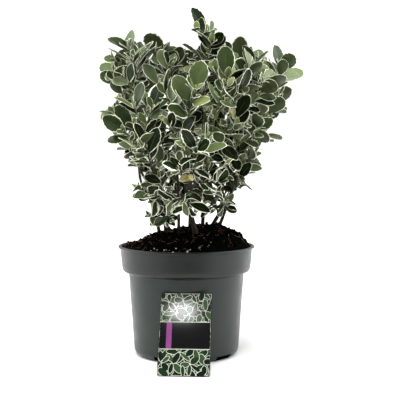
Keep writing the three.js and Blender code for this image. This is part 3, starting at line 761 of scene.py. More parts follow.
def make_material(name, colour, vary, roughness, grain, bump, gloss, coat=0.0, warm=0.0):
    """A material whose tones run into each other in patches, with an uneven gloss and a fine relief.

    vary is how far its tones differ, grain is the size of the patches and of the relief in millimetres, and
    bump is the relief's strength and depth.
    """
    material = bpy.data.materials.new(name)
    material.use_nodes = True
    nodes, links = material.node_tree.nodes, material.node_tree.links
    shader = nodes["Principled BSDF"]
    place = nodes.new("ShaderNodeTexCoord").outputs["Object"]

    def patches(size, detail):
        node = nodes.new("ShaderNodeTexNoise")
        set_values(node, Scale=1000 / size, Detail=detail)
        links.new(place, node.inputs["Vector"])
        return node.outputs["Fac"]

    red, green, blue = colour
    tones = [(red * (1 - vary), green * (1 - vary), blue * (1 - vary)), colour,
             (red * (1 + vary + warm), green * (1 + vary), blue * (1 + vary - warm))]
    ramp = nodes.new("ShaderNodeValToRGB")
    ramp.color_ramp.elements.new(0.5)
    for i, (stop, tone) in enumerate(zip(ramp.color_ramp.elements, tones)):
        stop.position = 0.5 + TONE_SPREAD * (i / 2 - 0.5)
        stop.color = (*tone, 1)
    links.new(patches(grain[0], 4), ramp.inputs["Fac"])
    links.new(ramp.outputs["Color"], shader.inputs["Base Color"])

    uneven = nodes.new("ShaderNodeMapRange")
    set_values(uneven, From_Min=0.3, From_Max=0.7, To_Min=roughness[0], To_Max=roughness[1])
    links.new(patches(grain[0] * 0.7, 2), uneven.inputs["Value"])
    links.new(uneven.outputs["Result"], shader.inputs["Roughness"])

    relief = nodes.new("ShaderNodeBump")
    set_values(relief, Strength=bump[0], Distance=bump[1] * MM)
    links.new(patches(grain[1], 3), relief.inputs["Height"])
    links.new(relief.outputs["Normal"], shader.inputs["Normal"])
    set_values(shader, Specular_IOR_Level=gloss, Coat_Weight=coat, Coat_Roughness=COAT_ROUGHNESS)
    return material


def make_materials(colours, *look, gloss, prefix="", **more):
    """A material for each named colour. gloss is one number, or one for some names and one for the rest."""
    glosses = gloss if isinstance(gloss, dict) else {"rest": gloss}
    return [make_material(prefix + name, colour, *look, gloss=glosses.get(name, glosses.get("rest")), **more)
            for name, colour in colours.items()]


def numbered(names):
    return {name: number for number, name in enumerate(names)}


LEAF_COLOURS = {
    "deep": (0.0046, 0.0115, 0.0018),
    "mid": (0.025, 0.043, 0.0105),
    "soft": (0.078, 0.112, 0.035),
    "light": (0.150, 0.196, 0.084),
    "pale": (0.185, 0.230, 0.070),
    "change": (0.120, 0.152, 0.066),
    "cream": (0.90, 0.92, 0.74),
    "under": (0.058, 0.078, 0.031),
    "rib": (0.075, 0.102, 0.038),
    "butter": (0.56, 0.48, 0.19),
    # The three shade colours are painted shade for the leaves inside the crown.
    "shade": (0.0042, 0.0088, 0.0018),
    "shade_edge": (0.100, 0.115, 0.060),
    "shade_change": (0.020, 0.029, 0.010),
}
LEAF_SLOTS = numbered(LEAF_COLOURS)
LEAF_GLOSS = {"deep": 0.08, "mid": 0.20, "soft": 0.32, "light": 0.32, "pale": 0.32, "shade": 0.03,
              "shade_edge": 0.05, "shade_change": 0.03, "rest": 0.18}
leaf_materials = make_materials(LEAF_COLOURS, 0.24, (0.34, 0.5), (9, 0.9), (0.25, 0.08), gloss=LEAF_GLOSS,
                                prefix="leaf_")

BARK_COLOURS = {
    "bark_foot": (0.0065, 0.0048, 0.0034),
    "bark_low": (0.019, 0.0135, 0.0085),
    "bark_mid": (0.036, 0.029, 0.017),
    "bark_high": (0.062, 0.062, 0.031),
    "twig_green": (0.115, 0.145, 0.062),
}
bark_materials = make_materials(BARK_COLOURS, 0.55, (0.65, 0.85), (5, 0.7), (0.6, 0.25), gloss=0.12,
                                warm=0.04)


# Stems and boughs, with the bark's relief

LIMB_SIDES = 16
LIMB_STEP = 1.6
LIMB_PAST_TIP = 1.2
BOUGH_IN_STEM = 4.0
NODE_STEP = 21
# Where one bark colour gives way to the next.
BARK_HEIGHTS = (168, 205, 262)
COLLARS_FROM = 195
COLLARS_RISE = 60
# The relief and the swellings, as shares of the radius.
RIDGE_DEPTH = 0.085
GRAIN_DEPTH = 0.045
COLLAR_SWELL = 0.13
LEAF_SCAR_SWELL = 0.22
ROOT_SWELL = 0.05
FORK_SWELL = 0.25


def bark_slots(heights, young=False):
    """The bark's material at each height, green at the top of young twigs."""
    numbers = np.searchsorted(BARK_HEIGHTS, heights)
    return numbers + (numbers == len(BARK_HEIGHTS)) * bool(young)


def add_limb(mesh, seed, limb):
    """A stem or bough with ridges and grain, and a collar with two leaf scars at each node."""
    path = limb["path"]
    reach = BOUGH_IN_STEM / path.length if limb["bough"] else 0.0
    steps = max(8, half_up(path.length / LIMB_STEP))
    shares = np.linspace(-reach, 1 + LIMB_PAST_TIP / path.length, steps + 1)
    along = shares * path.length
    heights = path.points(shares)[:, 2]
    radius = limb_radius(limb, np.maximum(shares, 0))
    if limb["bough"]:
        radius = radius * (1 + FORK_SWELL * np.exp(-np.maximum(along, 0) / 4))
    else:
        radius = radius * (1 + ROOT_SWELL * np.exp(-np.abs(along - STEM_SUNK) / 5))
    about, down = np.meshgrid(circle(LIMB_SIDES), along)
    ridges = noise(np.cos(about) * 4 + 50, np.sin(about) * 4 + down / 14, 1.3, seed)
    grain = noise(np.cos(about) * 7 + 90, np.sin(about) * 7 + down / 4, 1.1, seed + 1)
    relief = 1 + RIDGE_DEPTH * ridges + GRAIN_DEPTH * grain
    phase = (along - between(2, NODE_STEP, seed, 5)) % NODE_STEP
    collar = np.exp(-((phase - NODE_STEP / 2) / 1.5)**2)
    collar = (collar * np.clip((heights - COLLARS_FROM) / COLLARS_RISE, 0.1, 1))[:, None]
    two_sided = np.cos(about - seed - down // NODE_STEP * math.pi / 2)**2
    relief = relief + COLLAR_SWELL * collar + LEAF_SCAR_SWELL * collar * two_sided
    tip = np.clip((1 + LIMB_PAST_TIP / path.length - shares) * path.length / LIMB_PAST_TIP, 0.35, 1)
    mesh.add_tube(path, shares, radius[:, None] * relief * tip[:, None], LIMB_SIDES, bark_slots(heights))


limb_mesh = Mesh()
for seed, limb in enumerate(limbs.values()):
    add_limb(limb_mesh, 40 + seed * 3, limb)
limb_mesh.piece("stems_and_boughs", bark_materials, "bark", list(limbs), sharp=80)


# Twigs

TWIG_SIDES = 7
TWIG_STEP = 2.4
MAIN_TWIG = (1.55, 0.85)
SIDE_TWIG = (1.15, 0.7)
TWIG_IN_TIP = 3.0
TWIG_IN_FLANK = 4.5
TWIG_IN_TWIG = 0.6
TWIG_PAST_TIP = 0.6
YOUNG_TWIGS_FROM = 300
# The swellings, as shares of the radius.
TWIG_FOOT_SWELL = 0.35
TWIG_NODE_SWELL = 0.28


def add_twig(mesh, mass, shoot):
    """A shoot's twig, which starts inside whatever bears it and swells at its foot and nodes."""
    path = shoot["path"]
    main = shoot["order"] == 0
    foot, tip = MAIN_TWIG if main else SIDE_TWIG
    back = (TWIG_IN_TIP if mass["at_tip"] else TWIG_IN_FLANK) if main else TWIG_IN_TWIG
    steps = max(5, half_up(path.length / TWIG_STEP))
    shares = np.linspace(-back / path.length, 1 + TWIG_PAST_TIP / path.length, steps + 1)
    along = shares * path.length
    radius = foot + (tip - foot) * np.clip(shares, 0, 1)
    if main and mass["at_tip"]:
        radius = radius + (mass["limb"]["radius"][1] - foot) * np.exp(-np.maximum(along, 0) / 12)
    else:
        radius = radius * (1 + TWIG_FOOT_SWELL * np.exp(-np.maximum(along, 0) / 2.5))
    for node in shoot["nodes"]:
        away = along - node["share"] * path.length
        radius = radius * (1 + TWIG_NODE_SWELL * np.exp(-(away / 1.3)**2))
    radius = radius * np.clip((1 + 0.9 / path.length - shares) * path.length / 1.5, 0.3, 1)
    young = not main or path.end[2] > YOUNG_TWIGS_FROM
    mesh.add_tube(path, shares, radius, TWIG_SIDES, bark_slots(path.points(shares)[:, 2], young))


# Leaves

# Shares of the blade's length, how far the rim reaches there as a share of half its width, and its teeth.
STATIONS = np.array([0, 0.05, 0.10, 0.16, 0.23, 0.31, 0.40, 0.49, 0.58, 0.67, 0.75, 0.82, 0.885, 0.94, 0.978])
OUTLINE = np.array([0.05, 0.05, 0.12, 0.31, 0.51, 0.70, 0.85, 0.95, 1, 0.985, 0.92, 0.81, 0.66, 0.455, 0.24])
TEETH = np.array([0, 0, 0, 0, 0, 0.01, -0.012, 0.022, -0.022, 0.032, -0.03, 0.04, -0.035, 0.05, -0.02])
ALL_ROWS = list(range(len(STATIONS)))
FEW_ROWS = [0, 1, 2, 4, 6, 8, 10, 12, 14]
UNDER_COLUMNS = 3
BLADE_THICKNESS = 0.5
PETIOLE_ROWS = 2
# How far from the crown's middle the inner leaves, drawn darker as painted shade, can stand at these heights.
CROWN_HEIGHTS = (190, 250, 300, 340, 375)
CROWN_REACH = (75, 108, 118, 95, 0)
SHADE_LIMITS = (0.52, 0.9)
# The darker colour that each colour gives way to on the inner leaves, as painted shade.
SHADED = {"deep": "shade", "mid": "shade", "under": "shade", "cream": "shade_edge", "soft": "shade_change",
          "light": "shade_change", "pale": "shade_change", "butter": "shade_change", "change": "shade_change",
          "rib": "shade_change"}
SHADED_SLOTS = np.array([LEAF_SLOTS[SHADED.get(name, name)] for name in LEAF_SLOTS])
UNDER_KINDS = ["cream", "under", "under", "cream"]


def leaf_grid(picked, top_kinds):
    """One leaf's grid: its rows, and its faces, each with the kind of surface that it is."""
    rows, columns = len(picked), len(top_kinds) + 1
    last = rows * (columns + UNDER_COLUMNS)
    top = np.arange(rows * columns).reshape(rows, columns)
    under = rows * columns + np.arange(rows * UNDER_COLUMNS).reshape(rows, UNDER_COLUMNS)
    under = np.column_stack([top[:, 0], under, top[:, -1]])
    quads, triangles = [], []
    for row in range(rows - 1):
        for sheet, kinds in ((top, top_kinds), (under, UNDER_KINDS)):
            for column, kind in enumerate(kinds):
                corners = [*sheet[row, column:column + 2], *sheet[row + 1, column:column + 2][::-1]]
                if sheet is under:
                    corners = [corners[i] for i in OTHER_WAY_ROUND]
                elif kind == "rib" and picked[row] > len(STATIONS) - 6:
                    kind = "lamina"
                quads.append((corners, "rib" if row < PETIOLE_ROWS else kind))
    triangles += [((one, other, last), "cream") for one, other in zip(top[-1], top[-1, 1:])]
    triangles += [((other, one, last), "cream") for one, other in zip(under[-1], under[-1, 1:])]
    triangles += [((0, other, one), "rib") for one, other in zip(top[0, 1:], top[0, 2:])]
    triangles += [((0, one, other), "rib") for one, other in zip(under[0, 1:], under[0, 2:])]
    faces = [(np.array([corners for corners, _ in group]),
              np.array([LEAF_SLOTS.get(kind, -1) for _, kind in group])) for group in (quads, triangles)]
    return {"picked": picked, "bends": top_kinds is FULL_KINDS, "points": last + 1, "faces": faces}


FULL_KINDS = ["cream", "change", "lamina", "lamina", "rib", "lamina", "lamina", "change", "cream"]
SMALL_KINDS = ["cream", "change", "lamina", "rib", "lamina", "change", "cream"]
FULL_GRID, SMALL_GRID = leaf_grid(ALL_ROWS, FULL_KINDS), leaf_grid(FEW_ROWS, SMALL_KINDS)

# How the greens are shared out at three heights, first in the middle of the crown and then on its flanks:
# darker greens low down and in the middle are painted shade, paler ones on the flanks painted light.
GREEN_HEIGHTS = (240, 300, 360)
SHADED_GREEN_SHARES = {
    "deep": ((0.84, 0.60, 0.44), (0.34, 0.12, 0.06)),
    "mid": ((0.96, 0.90, 0.84), (0.62, 0.38, 0.28)),
    "soft": ((0.99, 0.98, 0.96), (0.82, 0.64, 0.56)),
}
# Where old leaves turn yellow, low in front.
YELLOWING_PLACE = np.array([3, -116, 251])
YELLOWING_REACH = 10
CROWN_X = 5
FLANK_X = 95
# Shares of young leaves that are soft green, or soft or pale green, and of grown leaves that aren't odd.
YOUNG_SOFT = 0.45
YOUNG_GREEN = 0.97
NOT_ODD = 0.992
YELLOW_BELOW = 290


def middle_of(leaf):
    return leaf["root"] + leaf["along"] * (leaf["length"] / 2)


def lamina_of(leaf):
    """The green of a leaf's upper side: darker low down and in the middle as painted shade, paler when young.
    """
    draw = chance(*leaf["keys"], 11)
    if leaf["young"]:
        return "soft" if draw < YOUNG_SOFT else "pale" if draw < YOUNG_GREEN else "butter"
    if size_of(middle_of(leaf) - YELLOWING_PLACE) < YELLOWING_REACH:
        return "butter"
    x, _, height = leaf["root"]
    if draw > NOT_ODD:
        return "butter" if height < YELLOW_BELOW else "pale"
    flank_share = min(1, abs(x - CROWN_X) / FLANK_X)**1.5
    for name, shares in SHADED_GREEN_SHARES.items():
        middle, flank = (np.interp(height, GREEN_HEIGHTS, side) for side in shares)
        if draw < middle + (flank - middle) * flank_share:
            return name
    return "light"


def in_painted_shade(leaf):
    """Whether a leaf stands well inside the crown, where its colours are swapped for darker ones as painted
    shade.
    """
    x, y, z = middle_of(leaf)
    reach = np.interp(z, CROWN_HEIGHTS, CROWN_REACH)
    far = math.hypot(x - CROWN_MIDDLE[0], y - CROWN_MIDDLE[1])
    return far < reach * between(*SHADE_LIMITS, *leaf["keys"], 13)


# Leaves rooted below this height are lower ones, and fully so this much further down.
LOW_BELOW = 330
LOW_WITHIN = 130
# Half widths of the leaf's stalk and the foot of its blade.
STALK = (0.62, 0.60, 0.95)
BLADE_WIDENED = 1.04
OUTLINE_ROUGHNESS = 0.02
# The cream margin: its width and how far it varies, for lower leaves its spread, what they lose and their
# contrast, and how broad it is on a few of them.
MARGIN = 0.44
MARGIN_SPREAD = 0.7
LOW_MARGIN_SPREAD = 0.6
LOW_MARGIN_LESS = 0.22
LOW_MARGIN_CONTRAST = 1.5
BROAD_MARGIN = 2.4
BROAD_SHARE = 0.16
THINNEST_MARGIN = 0.15
SIDES_DIFFER = 0.45
MARGIN_THINNING = 0.6
MARGIN_ROUGHNESS = 0.25
# The zone between cream and green: its width and how far that varies.
CHANGE_WIDTH = 0.2
CHANGE_SPREAD = 0.6
RIB_HALF_WIDTH = 0.18
# How far a blade is folded, curled, twisted and wavy, how far that varies, and how much more it is low down.
FOLD, FOLD_SPREAD, LOW_FOLD = 0.10, 0.34, 0.7
CURL, LOW_CURL = 0.10, 0.7
DROOP_SPREAD, LOW_DROOP_SPREAD = 0.14, 0.12
TWIST, LOW_TWIST = 0.7, 1.9
WAVE, LOW_WAVE = 0.35, 0.5


def add_leaves(mesh, leaves, grid):
    """Blades of one grid: their outlines and teeth, cream margins, folds, curls, droops, twists and waves."""
    picked = grid["picked"]
    count, rows = len(leaves), len(picked)
    stations, outline, teeth = STATIONS[picked], OUTLINE[picked], TEETH[picked]
    draws = np.array([[chance(*leaf["keys"], 20 + i) for i in range(10)] for leaf in leaves])
    chances = np.random.RandomState(count)
    root, along, up, across, length, width = (
        np.array([leaf[key] for leaf in leaves])
        for key in ("root", "along", "up", "across", "length", "width"))
    low = np.clip((LOW_BELOW - root[:, 2]) / LOW_WITHIN, 0, 1)
    half = outline[None, :] + teeth * np.where(draws[:, :1] < 0.5, 1, -1) * (0.6 + draws[:, 1:2])
    half = half * (1 + OUTLINE_ROUGHNESS * chances.standard_normal((count, rows)))
    half = half * (width / 2)[:, None] * BLADE_WIDENED
    half[:, :len(STALK)] = STALK

    margin = MARGIN + MARGIN_SPREAD * draws[:, 2:3]**2
    margin = margin + low[:, None] * (LOW_MARGIN_SPREAD * draws[:, 3:4]**3 - LOW_MARGIN_LESS)
    margin = margin * (1 + low[:, None] * LOW_MARGIN_CONTRAST * (draws[:, 6:7] - 0.62))
    margin = margin + BROAD_MARGIN * low[:, None] * (draws[:, 5:6] > 1 - BROAD_SHARE)
    margin = margin * np.clip(length / 30, 0.5, 1)[:, None]
    waves, starts = chances.uniform(4, 9, (2, count, 1)), chances.uniform(0, 6.28, (2, count, 1))
    sides = chances.uniform(-1, 1, (2, count, 1))
    margin = margin * np.maximum(THINNEST_MARGIN, 1 + SIDES_DIFFER * sides
                                 + MARGIN_THINNING * np.sin(stations * waves + starts)
                                 + MARGIN_ROUGHNESS * chances.uniform(-1, 1, (2, count, rows)))
    inner = np.clip(1 - margin / half, 0.45, 0.985)
    change = CHANGE_WIDTH + CHANGE_SPREAD * chances.uniform(0, 1, (2, count, rows))
    change = np.clip(inner - change / half, 0.28, inner - 0.02)
    rib = np.clip(RIB_HALF_WIDTH / half, 0.015, 0.1)
    left = [-np.ones_like(half), -inner[0], -change[0], -0.55 * change[0], -rib]
    right = [rib, 0.55 * change[1], change[1], inner[1], np.ones_like(half)]
    if not grid["bends"]:
        del left[3], right[1]
    columns = np.stack(left + right, axis=2)
    under = np.stack([-inner[0], np.zeros_like(half), inner[1]], axis=2)

    def per_leaf(values):
        """One value for each leaf, shaped to go with its rows and columns."""
        return values[:, None, None]

    fold = per_leaf(FOLD + FOLD_SPREAD * draws[:, 4] + LOW_FOLD * low * draws[:, 8])
    curl = per_leaf(CURL + LOW_CURL * low * (draws[:, 5] - 0.4))
    droop = LEAF_DROOP + (DROOP_SPREAD + LOW_DROOP_SPREAD * low) * (draws[:, 6] - 0.45)
    stations_out = stations[None, :, None]
    twist = per_leaf((TWIST + LOW_TWIST * low) * (draws[:, 7] - 0.5)) * stations_out
    wave = per_leaf(WAVE + LOW_WAVE * low * draws[:, 8])
    phase = per_leaf(draws[:, 9] * 6.28)
    forward = (stations * length[:, None])[:, :, None, None]

    def placed(columns, drop):
        """Points of the blades, from how far aside they are in half widths, dropped by this much."""
        aside = columns * half[:, :, None]
        crease = np.sqrt(columns**2 + 0.02) - 0.1414
        lift = half[:, :, None] * (fold * crease - curl * np.abs(columns)**3)
        lift = lift + wave * columns**2 * np.sin(stations_out * 11 + phase + columns * 1.5)
        lift = lift - drop
        cosine, sine = np.cos(twist), np.sin(twist)
        aside, lift = aside * cosine - lift * sine, aside * sine + lift * cosine
        lift = lift - per_leaf(droop * length) * stations_out**2
        points = (root[:, None, None, :] + along[:, None, None, :] * forward
                  + across[:, None, None, :] * aside[..., None] + up[:, None, None, :] * lift[..., None])
        return points.reshape(count, -1, 3)

    thick = np.where(np.arange(rows) <= PETIOLE_ROWS, 1.0, BLADE_THICKNESS)[None, :, None]
    apex = (root + along * length[:, None] + up * (-(droop + 0.015) * length)[:, None])[:, None, :]
    points = np.concatenate([placed(columns, 0.0), placed(under, thick), apex], axis=1)
    offsets = (np.arange(count) * grid["points"])[:, None, None]
    lamina = np.array([LEAF_SLOTS[lamina_of(leaf)] for leaf in leaves])[:, None]
    # Leaves inside the crown take the painted shade colours.
    shaded = np.array([in_painted_shade(leaf) for leaf in leaves])[:, None]
    groups = []
    for faces, numbers in grid["faces"]:
        numbers = np.where(numbers < 0, lamina, numbers)
        numbers = np.where(shaded, SHADED_SLOTS[numbers], numbers)
        groups.append(((faces + offsets).reshape(-1, faces.shape[1]), numbers.ravel()))
    mesh.add(points, *groups)


for region in ("upper", "front", "lower", "back"):
    leaf_mesh, twig_mesh = Mesh(), Mesh()
    joined = [mass for mass in masses if mass["region"] == region]
    for mass in joined:
        for shoot in mass["shoots"]:
            add_twig(twig_mesh, mass, shoot)
        for full, grid in ((True, FULL_GRID), (False, SMALL_GRID)):
            leaves = [leaf for leaf in mass["grown"] if leaf["full"] == full]
            if leaves:
                add_leaves(leaf_mesh, leaves, grid)
    names = [mass["name"] for mass in joined]
    leaf_mesh.piece("leaves_" + region, leaf_materials, "foliage", names, sharp=55)
    twig_mesh.piece("twigs_" + region, bark_materials, "foliage", names, sharp=80)


# Pot

POT_TURNS = 180
POT_HOLLOW = 1.0
NOTCH_TOP_SHARE = 0.93
BOX_FACES = [(0, 3, 2, 1), (4, 5, 6, 7), (0, 1, 5, 4), (1, 2, 6, 5), (2, 3, 7, 6), (3, 0, 4, 7)]


def rounded(profile, steps=5):
    """A profile of (radius, height, rounding), with each corner rounded off, without its ends on the axis."""
    points, t = [], np.linspace(0, 1, steps)[:, None]
    places = [vector(place[:2]) for place in profile]
    for i, (before, corner, after) in enumerate(zip(places, places[1:], places[2:]), 1):
        inward, beyond = before - corner, after - corner
        start = corner + inward / np.hypot(*inward) * profile[i][2]
        end = corner + beyond / np.hypot(*beyond) * profile[i][2]
        points.append(start * (1 - t)**2 + corner * 2 * t * (1 - t) + end * t**2)
    return np.concatenate(points)


def turned_rings(radii, heights, turns):
    """Level rings of points round the axis."""
    angles, radii, heights = circle(turns), np.array(radii)[:, None], np.array(heights)[:, None]
    return np.stack([radii * np.cos(angles), radii * np.sin(angles), heights + 0 * angles], axis=-1)


def cut_notches(pot):
    """The drain notches in the pot's foot, their cut faces painted near black as shade."""
    cutters = Mesh()
    inner, outer = BASE_RADIUS + 1 - NOTCH_DEPTH, BASE_RADIUS + 6
    for i in range(NOTCHES):
        angle = math.radians(NOTCH_FIRST_ANGLE + i * 360 / NOTCHES)
        c, s = math.cos(angle), math.sin(angle)
        out, aside = vector([c, s, 0]), vector([-s, c, 0])
        corners = [out * r + aside * hand * half + UP * z
                   for z, half in ((-4, NOTCH_WIDTH / 2), (NOTCH_HEIGHT, NOTCH_WIDTH / 2 * NOTCH_TOP_SHARE))
                   for r, hand in ((inner, -1), (outer, -1), (outer, 1), (inner, 1))]
        cutters.add(corners, (BOX_FACES, 0))
    # The cut faces are the pot's plastic, drawn near black as painted shade.
    inside = make_material("notch_painted_shade", (0.0014, 0.0013, 0.0011), 0.2, (0.85, 0.95), (9, 0.8), (0.2, 0.2),
                           gloss=0.01)
    cutter = linked("notch_cutters", cutters.data("notch_cutters", [inside]))
    modifier = pot.modifiers.new("notches", "BOOLEAN")
    modifier.operation = "DIFFERENCE"
    modifier.solver = "EXACT"
    modifier.material_mode = "TRANSFER"
    modifier.object = cutter
    done = bpy.data.meshes.new_from_object(pot.evaluated_get(bpy.context.evaluated_depsgraph_get()))
    pot.modifiers.clear()
    pot.data = done
    bpy.data.objects.remove(cutter)
    done.set_sharp_from_angle(angle=math.radians(40))


band_foot = POT_HEIGHT - BAND_HEIGHT
pot_profile = rounded([
    (0, POT_HOLLOW, 0),
    (BASE_RADIUS - BASE_ROUND - 8, POT_HOLLOW, 0.6),
    (BASE_RADIUS - BASE_ROUND - 6.5, 0, 0.6),
    (BASE_RADIUS - BASE_ROUND * 0.75, 0, 1.0),
    (BASE_RADIUS - BASE_ROUND * 0.12, BASE_ROUND * 0.5, 3.6),
    (BASE_RADIUS, BASE_ROUND, 1.0),
    (BODY_TOP_RADIUS, band_foot, 1.4),
    (BAND_LOW_RADIUS - 1.0, band_foot + STEP_HEIGHT - 1.5, 2.4),
    (BAND_LOW_RADIUS + 0.5, band_foot + STEP_HEIGHT + 5, 2.0),
    (BAND_TOP_RADIUS, POT_HEIGHT - RIM_LIP - 0.6, 0.5),
    (RIM_RADIUS, POT_HEIGHT - RIM_LIP + 0.3, 0.9),
    (RIM_RADIUS, POT_HEIGHT, 1.0),
    (BAND_TOP_RADIUS - POT_WALL, POT_HEIGHT - 0.2, 1.0),
    (BAND_LOW_RADIUS - POT_WALL, band_foot + STEP_HEIGHT, 0.8),
    (BODY_TOP_RADIUS - POT_WALL, band_foot + POT_WALL, 0.8),
    (BASE_RADIUS - POT_WALL, BASE_ROUND, 0.8),
    (BASE_RADIUS - POT_WALL - BASE_ROUND * 0.5, POT_FLOOR, 0.8),
    (0, POT_FLOOR, 0),
])
# The band is the body's plastic drawn darker, as painted shade.
POT_COLOURS = {"pot_plastic": (0.0110, 0.0165, 0.0138), "pot_band_painted_shade": (0.0020, 0.0048, 0.0033)}
POT_GLOSS = {"pot_plastic": 0.28, "pot_band_painted_shade": 0.36}
pot_materials = make_materials(POT_COLOURS, 0.10, (0.30, 0.42), (26, 0.55), (0.22, 0.06), gloss=POT_GLOSS)
pot_mesh = Mesh()
ring_heights = pot_profile[:, 1]
# The band's rows take the darker painted shade material.
band_shade_rows = (np.minimum(ring_heights[:-1], ring_heights[1:]) >= band_foot + STEP_HEIGHT - 2).astype(int)
pot_rings = turned_rings(*pot_profile.T, POT_TURNS)
pot_mesh.add_rings(pot_rings, [(0, 0, POT_HOLLOW), (0, 0, POT_FLOOR)], band_shade_rows)
cut_notches(pot_mesh.piece("nursery_pot", pot_materials, "pot", ["pot"], sharp=40))


# Soil

SOIL_COLOURS = {
    "compost": (0.0006, 0.0005, 0.0004),
    "bark_chip": (0.022, 0.0105, 0.0070),
    "perlite": (0.42, 0.41, 0.38),
    "fibre": (0.150, 0.112, 0.080),
}
SOIL_SLOTS = numbered(SOIL_COLOURS)
soil_materials = make_materials(SOIL_COLOURS, 0.45, (0.85, 0.97), (3, 0.8), (0.9, 0.6), gloss=0.015,
                                warm=0.05)
SOIL_ROWS = 64
SOIL_TURNS = 200
SOIL_EDGE = BAND_TOP_RADIUS - POT_WALL - 0.9
SOIL_DROP = 0.6
EDGE_LUMPS = 0.35
# The size and the depth of each kind of lump in the soil's surface.
LUMPS = ((17, 2.4), (7.5, 1.9), (3.4, 1.4), (1.7, 0.8))
# Arcs of the soil: from and to which angle, and how far in from the soil's edge.
LEFT_EDGE = ((118, 215), (2, 26))
FRONT_EDGE = ((236, 292), (1.5, 9))


def soil_height(x, y):
    """The soil's surface with its lumps, which die away at the pot's wall."""
    inward = np.clip((SOIL_EDGE - np.hypot(x, y)) / 10, 0, 1)
    lumps = sum(depth * noise(x, y, size, seed) for seed, (size, depth) in enumerate(LUMPS, 1))
    return soil_top(x, y) - SOIL_DROP + lumps * (EDGE_LUMPS + (1 - EDGE_LUMPS) * inward)


def height_at(x, y):
    return float(soil_height(np.array([x]), np.array([y]))[0])


def add_soil_body(mesh):
    """The closed fill of the pot, from just over the pot's floor to the lumpy surface."""
    radii = SOIL_EDGE * (np.arange(1, SOIL_ROWS + 1) / SOIL_ROWS)
    top = turned_rings(radii, 0 * radii, SOIL_TURNS)[::-1]
    top[..., 2] = soil_height(top[..., 0], top[..., 1])
    inset = POT_WALL + 0.6
    low = turned_rings(*zip(
        (BASE_RADIUS - inset - BASE_ROUND * 0.5, POT_FLOOR + CLEAR),
        (BASE_RADIUS - inset, BASE_ROUND + CLEAR),
        (BODY_TOP_RADIUS - inset, band_foot + POT_WALL + 0.4),
        (BAND_LOW_RADIUS - inset, band_foot + STEP_HEIGHT + 0.6)), SOIL_TURNS)
    centres = [(0, 0, POT_FLOOR + CLEAR), (0, 0, height_at(0.0, 0.0))]
    mesh.add_rings(np.concatenate([low, top]), centres, 0)


def ball():
    """The points and triangles of a small rounded lump."""
    golden = (1 + 5**0.5) / 2
    points = rows_unit(np.array([(-1, golden, 0), (1, golden, 0), (-1, -golden, 0), (1, -golden, 0),
                                 (0, -1, golden), (0, 1, golden), (0, -1, -golden), (0, 1, -golden),
                                 (golden, 0, -1), (golden, 0, 1), (-golden, 0, -1), (-golden, 0, 1)]))
    faces = [(0, 11, 5), (0, 5, 1), (0, 1, 7), (0, 7, 10), (0, 10, 11), (1, 5, 9), (5, 11, 4),
             (11, 10, 2), (10, 7, 6), (7, 1, 8), (3, 9, 4), (3, 4, 2), (3, 2, 6), (3, 6, 8), (3, 8, 9),
             (4, 9, 5), (2, 4, 11), (6, 2, 10), (8, 6, 7), (9, 8, 1)]
    points, middles, finer = list(points), {}, []

    def middle(a, b):
        key = (min(a, b), max(a, b))
        if key not in middles:
            middles[key] = len(points)
            points.append(unit(points[a] + points[b]))
        return middles[key]

    for a, b, c in faces:
        ab, bc, ca = middle(a, b), middle(b, c), middle(c, a)
        finer += [(a, ab, ca), (b, bc, ab), (c, ca, bc), (ab, bc, ca)]
    return np.array(points), np.array(finer)


BALL_POINTS, BALL_FACES = ball()


def turned(points, draws):
    """Points turned about their middle by three angles."""
    for axis, angle in enumerate(draws.uniform(0, 2 * math.pi, 3)):
        a, b = [(1, 2), (2, 0), (0, 1)][axis]
        c, s = math.cos(angle), math.sin(angle)
        points = points.copy()
        points[:, a], points[:, b] = points[:, a] * c - points[:, b] * s, points[:, a] * s + points[:, b] * c
    return points


def strewn(draws, radius, arc):
    """A place on the soil inside a radius, or on an arc near its edge."""
    far, angle = radius * math.sqrt(draws.uniform()), draws.uniform(0, 2 * math.pi)
    if arc:
        angle, far = math.radians(draws.uniform(*arc[0])), SOIL_EDGE - draws.uniform(*arc[1])
    return far * math.cos(angle), far * math.sin(angle)


def add_crumbs(mesh, count, sizes, flat, kind, seed, arc=None, sunk=0.35):
    """Lumps strewn over the soil, partly sunk."""
    draws = np.random.RandomState(seed)
    for _ in range(count):
        x, y = strewn(draws, SOIL_EDGE - 3, arc)
        size = draws.uniform(*sizes) * (0.5 + 0.5 * draws.uniform())
        lump = BALL_POINTS * (1 + 0.22 * draws.uniform(-1, 1, (len(BALL_POINTS), 1)))
        lump = lump * size * np.array([1, draws.uniform(*flat), draws.uniform(*flat)])
        place = x, y, height_at(x, y) + size * (0.45 - sunk)
        mesh.add(turned(lump, draws) + place, (BALL_FACES, SOIL_SLOTS[kind]))


def add_fibres(mesh, count, lengths, radii, kind, seed, arc=None, rise=0.25):
    """Thin bent strands lying on the soil."""
    draws = np.random.RandomState(seed)
    for _ in range(count):
        x, y = strewn(draws, SOIL_EDGE - 5, arc)
        length, radius = draws.uniform(*lengths), draws.uniform(*radii)
        heading, bend = draws.uniform(0, 2 * math.pi), draws.uniform(-0.35, 0.35) * length
        ahead = np.array([math.cos(heading), math.sin(heading)])
        ends = np.array([x, y]) + np.outer([-0.5, 0, 0.5], ahead * length)
        ends[1] += np.array([-ahead[1], ahead[0]]) * bend
        ends *= np.minimum(1, (SOIL_EDGE - 1) / np.hypot(*ends.T))[:, None]
        lifts = np.array([0.2, 0.8, draws.uniform(0.1, rise * length)])
        heights = soil_height(ends[:, 0], ends[:, 1]) + lifts
        shares = even_shares(6)
        mesh.add_tube(Path(*np.column_stack([ends, heights])), shares, radius * (1 - 0.5 * shares), 4,
                      SOIL_SLOTS[kind])


